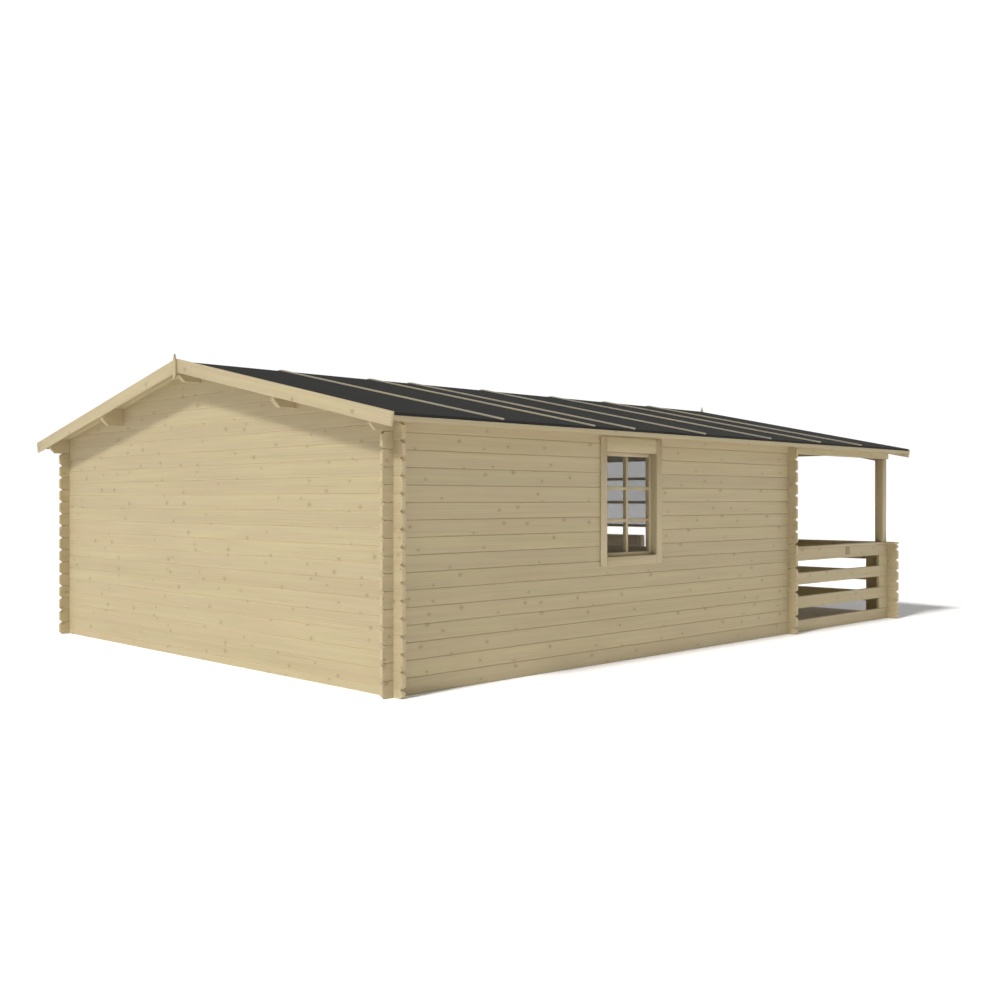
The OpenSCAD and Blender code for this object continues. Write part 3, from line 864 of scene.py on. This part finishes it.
@dataclass
class LogWork:
    """The log walls, rails and beams, whose solids stay and get their finish."""

    finishes: Finishes
    logs_y: tuple[str, ...] = ("left_wall_even_logs", "left_wall_odd_logs", "right_wall_even_logs",
                               "right_wall_odd_logs", "eave_logs", "porch_side_stubs")
    logs_x: tuple[str, ...] = ("back_wall_even_logs", "back_wall_odd_logs", "front_wall_even_logs",
                               "front_wall_odd_logs", "porch_front_rails", "porch_front_stubs",
                               "porch_gable_even_logs", "porch_gable_odd_logs", "porch_brackets")
    beams: tuple[str, ...] = ("side_purlins", "ridge_purlin")
    strips: tuple[str, ...] = ("eave_strips",)
    joists: tuple[str, ...] = ("floor_joists",)

    def dress(self) -> None:
        """Gives each node its finish."""
        for names, finish in ((self.logs_y, Timber.SIDE_LOGS), (self.logs_x, Timber.GABLE_LOGS),
                              (self.beams, Timber.BEAM), (self.strips, Timber.LONG_BOARD),
                              (self.joists, Timber.CROSS_BOARD)):
            dress_nodes(names, self.finishes.get(finish))


def dress_nodes(names: Sequence[str], material: bpy.types.Material) -> None:
    """Gives CAD nodes one material.

    Args:
        names: The nodes.
        material: The material that takes the place of their own.
    """
    for name in names:
        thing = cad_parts[name]
        thing.data.materials.clear()
        thing.data.materials.append(material)
        LOG.info("%s dressed", name)


@dataclass
class Roof:
    """Boards, felt, battens, bargeboards and finials."""

    finishes: Finishes
    board_w: float = 0.096
    groove: float = 0.003
    batten_w: float = 0.030
    batten_t: float = 0.012
    batten_in: float = 0.010
    batten_arris: float = 0.0015
    batten_from_back: tuple[float, ...] = (0.790, 1.765, 2.253, 3.215, 4.250, 5.150, 5.975)
    nail_start: float = 0.06
    nail_step: float = 0.30
    barge_h: float = 0.099
    barge_up: float = 0.006
    barge_rise: float = 0.012
    front_barge_down: float = 0.008
    barge_out: float = 0.012
    barge_t: float = 0.019
    barge_nails: int = 6
    barge_nail_from: float = 0.25
    barge_nail_in: float = 0.08
    barge_nail_down: tuple[float, ...] = (0.030, 0.070)
    finial_w: float = 0.044
    finial_h: float = 0.214
    finial_t: float = 0.018
    finial_up: float = 0.054
    finial_point: float = 1.6
    finial_foot: float = 0.9
    finial_arris: float = 0.0025

    @property
    def ends(self) -> Pair:
        """Front and back ends of the roof boards."""
        return PLAN.porch_y - PLAN.front_over, PLAN.back_y + PLAN.back_over

    @property
    def cover(self) -> float:
        """Plumb thickness of boards and felt."""
        return (PLAN.roof_t + PLAN.felt_t) / math.cos(math.radians(PLAN.slope_deg))

    def build(self) -> None:
        """Makes the boards, battens, bargeboards and finials, and dresses the felt."""
        dress_nodes(("left_roof_felt", "right_roof_felt"), self.finishes.get(Felt()))
        for side, word in ((-1, "left"), (1, "right")):
            self.boards(side, word)
            self.battens(side, word)
            self.bargeboards(side, word)
        self.finials()

    def boards(self, side: int, word: str) -> None:
        """Boards from eave to ridge, with V grooves on their underside.

        Args:
            side: -1 for the left half of the roof, 1 for the right half.
            word: The side's name.
        """
        front, back = self.ends
        thick = PLAN.roof_t / math.cos(math.radians(PLAN.slope_deg))
        eave, ridge = PLAN.roof_z(PLAN.edge_x), PLAN.roof_z(0.0)
        edge = side * PLAN.edge_x
        loop = [(ridge, 0.0), (ridge + thick, 0.0), (eave + thick, edge), (eave, edge)]
        move = [(self.groove, 0.0), (0.0, 0.0), (0.0, 0.0), (self.groove, 0.0)]
        if side < 0:
            loop, move = loop[::-1], move[::-1]
        pile = Pile()
        pile.add(grooved(loop, move, 1, front, back, self.board_w))
        finish = Timber.LEFT_SOFFIT if side < 0 else Timber.RIGHT_SOFFIT
        pile.piece(f"{word}_soffit_boards", self.finishes.get(finish), "roof_board", (f"{word}_roof_boards",))

    def battens(self, side: int, word: str) -> None:
        """Battens down the slope over the felt, with a row of nails in each.

        Args:
            side: -1 for the left half of the roof, 1 for the right half.
            word: The side's name.
        """
        c, s = math.cos(math.radians(PLAN.slope_deg)), math.sin(math.radians(PLAN.slope_deg))
        out = np.array([side * s, 0.0, c])
        down = np.array([side * c, 0.0, -s])
        top = np.array([0.0, 0.0, PLAN.roof_z(0.0) + self.cover]) + down * self.batten_in
        length = PLAN.edge_x / c - self.batten_in
        pile, nails = Pile(), Pile()
        steps = np.arange(self.nail_start, length, self.nail_step)
        for at in self.batten_from_back:
            start = top + np.array([0.0, PLAN.back_y - at, 0.0]) + out * (self.batten_t / 2)
            pile.add(board(start, start + down * length, (0, side, 0), out,
                           self.batten_w, self.batten_t, self.batten_arris))
            rows = start + out * (self.batten_t / 2) + steps[:, None] * down
            nails.add(nail_heads(rows, (0, side, 0), -down))
        finish = Timber.LEFT_BATTEN if side < 0 else Timber.RIGHT_BATTEN
        pile.piece(f"{word}_felt_battens", self.finishes.get(finish), "roof_batten", ("roof_battens",))
        nails.piece(f"{word}_batten_nails", self.finishes.get(ZINC), "steel")

    def bargeboards(self, side: int, word: str) -> None:
        """Bargeboards at both gables, their lower ends cut square to the slope.

        The back one stands up above the felt, more at the ridge. The front one stays below the felt.

        Args:
            side: -1 for the left half of the roof, 1 for the right half.
            word: The side's name.
        """
        front, back = self.ends
        lift = self.cover + self.barge_up
        x = PLAN.edge_x + PLAN.felt_t + self.barge_out
        top = PLAN.roof_z(x) + lift
        ridge = PLAN.roof_z(0.0) + lift
        angle = math.radians(PLAN.slope_deg)
        cut = self.barge_h * math.sin(angle) * math.cos(angle)
        under = [(top + cut * PLAN.slope - self.barge_h, side * (x - cut)), (ridge - self.barge_h, 0.0)]
        drop = self.barge_up + self.front_barge_down
        edges = {1.0: [(ridge + self.barge_rise, 0.0), (top, side * x)],
                 -1.0: [(ridge - drop, 0.0), (top - drop, side * (x - drop * PLAN.slope))]}
        pile, nails = Pile(), Pile()
        spots = np.linspace(self.barge_nail_from, x - self.barge_nail_in, self.barge_nails)
        for low, out in ((back, 1.0), (front - self.barge_t, -1.0)):
            pile.add(plate(edges[out] + under, 1, low, low + self.barge_t))
            face = low + self.barge_t if out > 0 else low
            rows = [(side * a, face, PLAN.roof_z(a) + lift - down)
                    for a in spots for down in self.barge_nail_down]
            nails.add(nail_heads(rows, (-out, 0, 0), (0, 0, 1)))
        finish = Timber.LEFT_BARGE if side < 0 else Timber.RIGHT_BARGE
        pile.piece(f"{word}_barge_planks", self.finishes.get(finish), "trim_board", (f"{word}_bargeboards",))
        nails.piece(f"{word}_barge_nails", self.finishes.get(ZINC), "steel")

    def finials(self) -> None:
        """Pointed boards over the joint of the bargeboards."""
        front, back = self.ends
        z, w = PLAN.roof_z(0.0) + self.cover + self.finial_up, self.finial_w / 2
        shoulder = z - self.finial_point * self.finial_w
        foot = z + self.finial_foot * self.finial_w - self.finial_h
        outline = [(z, 0.0), (shoulder, w), (foot, w), (z - self.finial_h, 0.0), (foot, -w), (shoulder, -w)]
        pile = Pile()
        for low in (back + self.barge_t, front - self.barge_t - self.finial_t):
            pile.add(plate(outline, 1, low, low + self.finial_t, self.finial_arris))
        pile.piece("finial_boards", self.finishes.get(Timber.UPRIGHT), "trim_board", ("gable_finials",))


def ring_of_boards(uprights: Pile, crosses: Pile, depth: Pair, axis: int,
                   outer: tuple[float, float, float, float], width: float, arris: float = ARRIS) -> None:
    """Four boards round an opening: two uprights the full height and two across between them.

    Args:
        uprights: Takes the upright boards.
        crosses: Takes the boards across.
        depth: Where the two faces lie along the axis.
        axis: The axis through the ring, 0 or 1.
        outer: Outer edges: low and high along the wall, then low and high in height.
        width: Width of the boards.
        arris: Radius of the eased edges.
    """
    a0, a1, z0, z1 = outer
    wall = 1 - axis

    def corner(d: float, a: float, z: float) -> list[float]:
        """A point from its place through the wall, along it and up."""
        spot = [0.0, 0.0, z]
        spot[axis], spot[wall] = d, a
        return spot

    for low, high in ((a0, a0 + width), (a1 - width, a1)):
        uprights.add(box_board(corner(depth[0], low, z0), corner(depth[1], high, z1), 2, arris))
    for low, high in ((z0, z0 + width), (z1 - width, z1)):
        near, far = corner(depth[0], a0 + width, low), corner(depth[1], a1 - width, high)
        crosses.add(box_board(near, far, wall, arris))


@dataclass
class Windows:
    """Casings, frames, sashes, bars and glass of the two side windows."""

    finishes: Finishes
    middle_y: float = 0.953
    clear_w: float = 0.644
    sill_z: float = 0.846
    clear_h: float = 0.844
    jamb_t: float = 0.027
    jamb_d: float = 0.088
    jamb_gap: float = 0.0002
    sash_back: float = 0.043
    sash_t: float = 0.040
    sash_w: float = 0.030
    glass_t: float = 0.004
    fit: float = 0.0003
    casing_w: float = 0.078
    casing_t: float = 0.012
    head_h: float = 0.120
    foot_h: float = 0.072
    bar_w: float = 0.028
    bar_lip: float = 0.003
    rows: int = 3
    nail_rows: int = 6
    nail_in: float = 0.04
    nail_side: float = 0.06

    def build(self) -> None:
        """Makes both windows and dresses their panes."""
        dress_nodes(("window_panes",), self.finishes.get(CLEAR_GLASS))
        upright, cross = Timber.UPRIGHT, Timber.LONG_BOARD
        groups = {
            "casing": (("window_side_casings",), ("window_cross_casings",), self.casings),
            "frame": (("window_frames",), ("window_frames",), self.frames),
            "sash": (("window_sashes",), ("window_sashes",), self.sashes),
            "bar": ((), (), self.bars),
        }
        for word, (stands, lies, make) in groups.items():
            uprights, crosses = Pile(), Pile()
            for side in (-1, 1):
                make(side, uprights, crosses)
            uprights.piece(f"window_{word}_uprights", self.finishes.get(upright), "trim_board", stands)
            crosses.piece(f"window_{word}_crosspieces", self.finishes.get(cross), "trim_board", lies)
        self.nails()

    def span(self, w: float) -> Pair:
        """Low and high Y of a width about the window's middle."""
        return self.middle_y - w / 2, self.middle_y + w / 2

    def casings(self, side: int, uprights: Pile, crosses: Pile) -> None:
        """Boards on the outside of the wall round the window.

        Args:
            side: -1 for the left window, 1 for the right one.
            uprights: Takes the upright boards.
            crosses: Takes the boards across.
        """
        x0, x1 = side * PLAN.side_x, side * (PLAN.side_x + self.casing_t)
        top = self.sill_z + self.clear_h
        foot, head = self.sill_z - self.foot_h, top + self.head_h
        y0, y1 = self.span(self.clear_w)
        for a, b in ((y0 - self.casing_w, y0), (y1, y1 + self.casing_w)):
            uprights.add(box_board((x0, a, foot), (x1, b, head), 2, ROUND_ARRIS))
        for low, high in ((foot, self.sill_z), (top, head)):
            crosses.add(box_board((x0, y0, low), (x1, y1, high), 1, ROUND_ARRIS))

    def frames(self, side: int, uprights: Pile, crosses: Pile) -> None:
        """Jambs, head and sill through the wall.

        Args:
            side: -1 for the left window, 1 for the right one.
            uprights: Takes the upright boards.
            crosses: Takes the boards across.
        """
        x = (side * PLAN.side_x, side * (PLAN.side_x - self.jamb_d))
        y0, y1 = self.span(self.clear_w + 2 * self.jamb_t - 2 * self.jamb_gap)
        z0 = self.sill_z - self.jamb_t
        z1 = self.sill_z + self.clear_h + self.jamb_t - self.jamb_gap
        ring_of_boards(uprights, crosses, x, 0, (y0, y1, z0, z1), self.jamb_t)

    def sashes(self, side: int, uprights: Pile, crosses: Pile) -> None:
        """Stiles and rails of the sash.

        Args:
            side: -1 for the left window, 1 for the right one.
            uprights: Takes the upright boards.
            crosses: Takes the boards across.
        """
        x = (side * (PLAN.side_x - self.sash_back), side * (PLAN.side_x - self.sash_back - self.sash_t))
        y0, y1 = self.span(self.clear_w - 2 * self.fit)
        top = self.sill_z + self.clear_h - 2 * self.fit
        ring_of_boards(uprights, crosses, x, 0, (y0, y1, self.sill_z, top), self.sash_w, ROUND_ARRIS)

    def bars(self, side: int, uprights: Pile, crosses: Pile) -> None:
        """One upright and two cross bars on each face of the glass.

        Args:
            side: -1 for the left window, 1 for the right one.
            uprights: Takes the upright boards.
            crosses: Takes the boards across.
        """
        middle = PLAN.side_x - self.sash_back - self.sash_t / 2
        y0, y1 = self.span(self.clear_w - 2 * self.sash_w - 4 * self.fit)
        z0 = self.sill_z + self.sash_w
        z1 = self.sill_z + self.clear_h - self.sash_w - 2 * self.fit
        left, right = self.span(self.bar_w)
        half = self.bar_w / 2
        for out in (-1, 1):
            x0 = side * (middle + out * self.glass_t / 2)
            x1 = side * (middle + out * (self.sash_t / 2 - self.bar_lip))
            uprights.add(box_board((x0, left, z0), (x1, right, z1), 2, ROUND_ARRIS))
            for row in range(1, self.rows):
                z = z0 + (z1 - z0) * row / self.rows
                for a, b in ((y0, left), (right, y1)):
                    crosses.add(box_board((x0, a, z - half), (x1, b, z + half), 1, ROUND_ARRIS))

    def nails(self) -> None:
        """Nail heads along the casings."""
        pile = Pile()
        top = self.sill_z + self.clear_h
        y0, y1 = self.span(self.clear_w)
        foot, head = self.sill_z - self.foot_h, top + self.head_h
        heights = np.linspace(foot + self.nail_in, head - self.nail_in, self.nail_rows)
        levels = (self.sill_z - self.foot_h / 2, top + self.head_h / 2)
        for side in (-1, 1):
            x = side * (PLAN.side_x + self.casing_t)
            rows = [(x, y, z) for y in (y0 - self.casing_w / 2, y1 + self.casing_w / 2) for z in heights]
            rows += [(x, y, z) for y in (y0 + self.nail_side, y1 - self.nail_side) for z in levels]
            pile.add(nail_heads(rows, (0, side, 0), (0, 0, 1)))
        pile.piece("window_casing_nails", self.finishes.get(ZINC), "steel")


@dataclass(frozen=True)
class Hinge:
    """Sizes of a barrel hinge: a barrel, a pin that shows at both its ends, and a plate on the leaf."""

    out: float = 0.007
    barrel_half: float = 0.045
    barrel_r: float = 0.0065
    pin_from: float = 0.0455
    pin_to: float = 0.052
    pin_r: float = 0.0050
    plate_near: float = 0.005
    plate_far: float = 0.034
    plate_half: float = 0.042
    plate_t: float = 0.002
    plate_arris: float = 0.0008

    def add(self, pile: Pile, side: int, place: Triple) -> None:
        """Adds one hinge.

        Args:
            pile: Takes its shapes.
            side: -1 where the leaf lies to the right of the hinge, 1 where it lies to the left.
            place: The edge of the leaf's face at the hinge's middle.
        """
        x, face, z = place
        y = face - self.out
        pile.add(tube([(x, y, z - self.barrel_half), (x, y, z), (x, y, z + self.barrel_half)], self.barrel_r))
        for tip in (-1, 1):
            pin = [(x, y, z + tip * self.pin_from), (x, y, z + tip * self.pin_to)]
            pile.add(tube(pin[::tip], self.pin_r))
        pile.add(box_board((x - side * self.plate_far, face - self.plate_t, z - self.plate_half),
                           (x - side * self.plate_near, face, z + self.plate_half), 2, self.plate_arris))


@dataclass
class Door:
    """Casing, frame, two leaves with bars and boarded feet, hinges and handles."""

    finishes: Finishes
    clear_w: float = 1.780
    foot_z: float = 0.0585
    top_z: float = 1.9305
    jamb_t: float = 0.045
    jamb_d: float = 0.088
    jamb_gap: float = 0.0002
    threshold_h: float = 0.027
    casing_w: float = 0.078
    casing_t: float = 0.012
    casing_h: float = 0.110
    leaf_y: float = -1.489
    leaf_t: float = 0.040
    leaf_z: float = 0.0858
    leaf_h: float = 1.7994
    leaf_w: float = 0.88955
    stile_w: float = 0.100
    foot_h: float = 0.714
    foot_rail_h: float = 0.140
    lock_rail_h: float = 0.090
    bar_z: float = 1.025
    bar_h: float = 0.030
    bar_lip: float = 0.003
    upper_bars: tuple[float, ...] = (1.279, 1.533)
    fit: float = 0.0003
    glass_t: float = 0.004
    panel_in: float = 0.010
    panel_w: float = 0.0863
    groove: float = 0.003
    hinge_at: tuple[float, ...] = (0.30, 1.00, 1.68)

    def build(self) -> None:
        """Makes the whole doorway and dresses its glass and handles."""
        dress_nodes(("door_upper_panes",), self.finishes.get(SMOKED_GLASS))
        dress_nodes(("door_lower_panes",), self.finishes.get(CLEAR_GLASS))
        dress_nodes(("door_handles",), self.finishes.get(STEEL))
        self.surround()
        for side, word in ((-1, "left"), (1, "right")):
            self.leaf(side, word)
        self.hinges()

    def surround(self) -> None:
        """Casing on the porch side and frame through the wall."""
        half = self.clear_w / 2
        under = self.top_z - self.jamb_t
        wide, jamb = half + self.casing_w, half + self.jamb_t - self.jamb_gap
        y0, y1 = PLAN.front_y - self.casing_t, PLAN.front_y
        inside, top = y1 + self.jamb_d, self.top_z - self.jamb_gap
        uprights, crosses = Pile(), Pile()
        for side in (-1, 1):
            uprights.add(box_board((side * half, y0, self.foot_z), (side * wide, y1, under), 2, ROUND_ARRIS))
            uprights.add(box_board((side * half, y1, self.foot_z), (side * jamb, inside, top), 2))
        crosses.add(box_board((-wide, y0, under), (wide, y1, under + self.casing_h), 0, ROUND_ARRIS))
        crosses.add(box_board((-half, y1, under), (half, inside, top), 0))
        crosses.add(box_board((-half, y1, self.foot_z), (half, inside, self.foot_z + self.threshold_h), 0))
        nodes = ("door_casing", "door_frame")
        uprights.piece("doorway_uprights", self.finishes.get(Timber.UPRIGHT), "trim_board", nodes)
        crosses.piece("doorway_crosspieces", self.finishes.get(Timber.CROSS_BOARD), "trim_board", nodes)

    def leaf(self, side: int, word: str) -> None:
        """Stiles, rails, bars and a boarded foot of one leaf.

        Args:
            side: -1 for the left leaf, 1 for the right one.
            word: The side's name.
        """
        inner = side * self.fit / 2
        outer = inner + side * self.leaf_w
        a, b = inner + side * self.stile_w, outer - side * self.stile_w
        y0, y1 = self.leaf_y, self.leaf_y + self.leaf_t
        z0, z1 = self.leaf_z, self.leaf_z + self.leaf_h
        stiles, rails = Pile(), Pile()
        for p, q in ((inner, a), (b, outer)):
            stiles.add(box_board((p, y0, z0), (q, y1, z1), 2, ROUND_ARRIS))
        foot = z0 + self.foot_h
        half, glass = self.bar_h / 2, (y0 + y1) / 2
        for low, high in ((z0, z0 + self.foot_rail_h), (foot - self.lock_rail_h, foot),
                          (self.bar_z - half, self.bar_z + half), (z1 - self.stile_w, z1)):
            rails.add(box_board((a, y0, low), (b, y1, high), 0, ROUND_ARRIS))
        for face, lip in ((y0 + self.bar_lip, -1), (y1 - self.bar_lip, 1)):
            back = glass + lip * self.glass_t / 2
            for z in self.upper_bars:
                rails.add(box_board((a, back, z - half), (b, face, z + half), 0, ROUND_ARRIS))
        node = (f"{word}_door_leaf",)
        stiles.piece(f"{word}_leaf_stiles", self.finishes.get(Timber.UPRIGHT), "trim_board", node)
        rails.piece(f"{word}_leaf_rails", self.finishes.get(Timber.CROSS_BOARD), "trim_board", node)
        panel = Pile()
        p0, p1 = y0 + self.panel_in, y1 - self.panel_in
        low, high = z0 + self.foot_rail_h, foot - self.lock_rail_h
        panel.add(grooved([(p0, low), (p1, low), (p1, high), (p0, high)],
                          [(self.groove, 0), (-self.groove, 0), (-self.groove, 0), (self.groove, 0)],
                          0, min(a, b), max(a, b), self.panel_w))
        panel.piece(f"{word}_leaf_foot_boards", self.finishes.get(Timber.DOOR_BOARDS), "trim_board", node)

    def hinges(self) -> None:
        """Three barrel hinges on each leaf's outer edge."""
        pile = Pile()
        for side in (-1, 1):
            for z in self.hinge_at:
                Hinge().add(pile, side, (side * self.clear_w / 2, self.leaf_y, z))
        pile.piece("door_hinges", self.finishes.get(STEEL), "steel")


@dataclass
class Porch:
    """Posts, rail tops, rail posts and the plugs in the side rails."""

    finishes: Finishes
    rail_z: float = 0.819
    cap_w: float = 0.090
    cap_t: float = 0.023
    cap_over: float = 0.120
    cap_gap: float = 0.0005
    entry_w: float = 1.774
    post_w: float = 0.090
    post_back: float = 0.048
    post_top: float = 1.755
    rail_post_w: float = 0.070
    rail_post_d: float = 0.045
    rail_post_gap: float = 0.00025
    floor_z: float = 0.058
    log_end: float = 0.092
    plug_y: float = -2.673
    plug_z: float = 0.772
    plug_w: float = 0.098
    plug_h: float = 0.078
    plug_in: float = 0.020
    plug_out: float = 0.003

    def build(self) -> None:
        """Makes the boards and posts."""
        posts, long_caps, cross_caps, rail_posts, plugs = (Pile() for _ in range(5))
        top = self.rail_z + self.cap_t
        entry = self.entry_w / 2
        post_y = PLAN.porch_y + self.post_back
        caps_meet = PLAN.porch_y + self.cap_w
        caps_end = PLAN.front_y - self.log_end - self.cap_gap
        near = PLAN.porch_y + PLAN.log_t + self.rail_post_gap
        plug_half = np.array([0.0, self.plug_w, self.plug_h]) / 2
        for side in (-1, 1):
            x = side * PLAN.side_x
            posts.add(box_board((x, post_y, top),
                                (x - side * self.post_w, post_y + self.post_w, self.post_top), 2, POST_ARRIS))
            long_caps.add(box_board((x, caps_meet, self.rail_z),
                                    (x - side * self.cap_w, caps_end, top), 1, POST_ARRIS))
            cross_caps.add(box_board((x + side * self.cap_over, PLAN.porch_y, self.rail_z),
                                     (side * entry, caps_meet, top), 0, POST_ARRIS))
            far = (side * (entry + self.rail_post_w), near + self.rail_post_d, self.rail_z)
            rail_posts.add(box_board((side * entry, near, self.floor_z), far, 2, ROUND_ARRIS))
            inner = np.array([x - side * self.plug_in, self.plug_y, self.plug_z])
            outer = np.array([x + side * self.plug_out, self.plug_y, self.plug_z])
            plugs.add(box_board(inner - plug_half, outer + plug_half, 0, ROUND_ARRIS))
        for pile, name, finish, node in (
                (posts, "corner_posts", Timber.UPRIGHT, "porch_posts"),
                (long_caps, "side_rail_tops", Timber.LONG_BOARD, "porch_side_caps"),
                (cross_caps, "front_rail_tops", Timber.CROSS_BOARD, "porch_front_caps"),
                (rail_posts, "entry_posts", Timber.UPRIGHT, "porch_rail_posts")):
            pile.piece(name, self.finishes.get(finish), "trim_board", (node,))
        plugs.piece("side_rail_plugs", self.finishes.get(Timber.PLUG), "log")


@dataclass
class Floors:
    """Boarded floors of the room and the porch."""

    finishes: Finishes
    low_z: float = 0.040
    thick: float = 0.018
    gap: float = 0.0005
    board_w: float = 0.112
    groove: float = 0.003

    def build(self) -> None:
        """Lays both floors, their boards along Y with V grooves on top."""
        rooms = {
            "room": ("cabin_floor", Timber.ROOM_FLOOR, PLAN.front_y + PLAN.log_t, PLAN.back_y - PLAN.log_t),
            "porch": ("porch_floor", Timber.PORCH_FLOOR, PLAN.porch_y + PLAN.log_t, PLAN.front_y),
        }
        half = PLAN.side_x - PLAN.log_t - self.gap
        z0, z1 = self.low_z, self.low_z + self.thick
        for word, (node, finish, start, end) in rooms.items():
            y0, y1 = start + self.gap, end - self.gap
            pile = Pile()
            pile.add(grooved([(y0, z0), (y1, z0), (y1, z1), (y0, z1)],
                             [(0, 0), (0, 0), (0, -self.groove), (0, -self.groove)],
                             0, -half, half, self.board_w))
            pile.piece(f"{word}_floor_boards", self.finishes.get(finish), "floor_board", (node,))


@dataclass
class Studio:
    """Floor, light and camera."""

    eye: Triple = (-8.165, 8.097, 1.303)
    turn_deg: float = -134.81
    lens: float = 39.846
    sensor: float = 36.0
    sight: float = 2000.0
    floor_half: float = 400.0
    floor_tones: tuple[Colour, Colour] = ((0.965, 0.965, 0.970), (0.980, 0.980, 0.985))
    sun_way: Triple = (0.070, -0.68, -0.73)
    sun_colour: Colour = (1.0, 0.99, 0.97)
    sun_power: float = 1.88
    floor_sun_power: float = 1.45
    sun_size_deg: float = 8.0
    sky_power: float = 0.352
    front_glow: float = 0.75
    glow_from: float = -0.60
    glow_full: float = -0.98
    backdrop_power: float = 1.02
    room_lamp_power: float = 9.0
    room_lamp_size: float = 0.3
    room_lamp_place: Triple = (0.0, 0.6, 1.75)

    def build(self) -> None:
        """Sets up the pale floor, two suns, a room lamp, the white surroundings and the camera.

        The second sun falls on the floor alone, and keeps it white.
        """
        floor = self.floor()
        self.sun("soft_sun", self.sun_power)
        whitener = bpy.data.collections.new("floor_alone")
        whitener.objects.link(floor)
        self.sun("floor_sun", self.floor_sun_power).light_linking.receiver_collection = whitener
        self.room_lamp()
        self.surroundings()
        self.camera()

    def floor(self) -> bpy.types.Object:
        """A wide pale floor at ground height.

        Returns:
            The floor's object.
        """
        mesh = bpy.data.meshes.new("studio_floor")
        r = self.floor_half
        mesh.from_pydata([(-r, -r, 0), (r, -r, 0), (r, r, 0), (-r, r, 0)], [], [(0, 1, 2, 3)])
        g = Graph("studio_floor")
        cloud = g.noise(g.vector(*g.place()), 0.6, 2.0)
        mesh.materials.append(g.surface({
            "Base Color": g.mix(cloud, *self.floor_tones),
            "Roughness": 0.9,
            "Specular IOR Level": 0.0,
        }))
        plane = bpy.data.objects.new("studio_floor", mesh)
        bpy.context.scene.collection.objects.link(plane)
        return plane

    def room_lamp(self) -> None:
        """A weak wide lamp under the ridge that lifts the shade in the room."""
        data = bpy.data.lights.new("room_lamp", "POINT")
        data.energy = self.room_lamp_power
        data.shadow_soft_size = self.room_lamp_size
        lamp = bpy.data.objects.new("room_lamp", data)
        lamp.location = self.room_lamp_place
        bpy.context.scene.collection.objects.link(lamp)

    def sun(self, name: str, power: float) -> bpy.types.Object:
        """A soft sun from behind the cabin's back gable.

        Args:
            name: Name of the light.
            power: Its strength.

        Returns:
            The light's object.
        """
        data = bpy.data.lights.new(name, "SUN")
        data.energy = power
        data.angle = math.radians(self.sun_size_deg)
        data.color = self.sun_colour
        sun = bpy.data.objects.new(name, data)
        x, y, z = np.array(self.sun_way) / np.linalg.norm(self.sun_way)
        sun.rotation_euler = (math.acos(-z), 0.0, math.atan2(-x, y))
        bpy.context.scene.collection.objects.link(sun)
        return sun

    def surroundings(self) -> None:
        """White surroundings that light softly and look white behind the cabin and through its glass.

        A wide patch in front of the porch glows more: the sky's strength rises by an eased step of how
        far a direction points that way.
        """
        world = bpy.data.worlds.new("white_studio")
        world.use_nodes = True
        tree = world.node_tree
        tree.nodes.clear()
        path = tree.nodes.new("ShaderNodeLightPath")
        way = tree.nodes.new("ShaderNodeSeparateXYZ")
        tree.links.new(tree.nodes.new("ShaderNodeTexCoord").outputs["Generated"], way.inputs[0])
        glow = tree.nodes.new("ShaderNodeMapRange")
        glow.interpolation_type = "SMOOTHSTEP"
        for socket, value in (("From Min", self.glow_from), ("From Max", self.glow_full),
                              ("To Min", self.sky_power), ("To Max", self.sky_power + self.front_glow)):
            glow.inputs[socket].default_value = value
        tree.links.new(way.outputs[1], glow.inputs["Value"])
        power = tree.nodes.new("ShaderNodeMapRange")
        power.inputs["To Max"].default_value = self.backdrop_power
        tree.links.new(glow.outputs["Result"], power.inputs["To Min"])
        tree.links.new(path.outputs["Is Camera Ray"], power.inputs["Value"])
        back = tree.nodes.new("ShaderNodeBackground")
        back.inputs["Color"].default_value = (1.0, 1.0, 1.0, 1.0)
        tree.links.new(power.outputs["Result"], back.inputs["Strength"])
        out = tree.nodes.new("ShaderNodeOutputWorld")
        tree.links.new(back.outputs[0], out.inputs["Surface"])
        bpy.context.scene.world = world
        bpy.context.scene.view_settings.view_transform = "Standard"

    def camera(self) -> None:
        """The camera at the photograph's place, level, at the height of its horizon."""
        data = bpy.data.cameras.new("photo_camera")
        data.lens = self.lens
        data.sensor_width = self.sensor
        data.clip_end = self.sight
        camera = bpy.data.objects.new("photo_camera", data)
        camera.location = self.eye
        camera.rotation_euler = (math.radians(90.0), 0.0, math.radians(self.turn_deg))
        bpy.context.scene.collection.objects.link(camera)
        bpy.context.scene.camera = camera


def main() -> None:
    """Builds the cabin's finishes and joinery, then the studio."""
    logging.basicConfig(level=logging.INFO, format="%(name)s: %(message)s")
    finishes = Finishes()
    LogWork(finishes).dress()
    for part in (Roof(finishes), Windows(finishes), Door(finishes), Porch(finishes), Floors(finishes)):
        part.build()
    Studio().build()


if __name__ == "__main__":
    main()
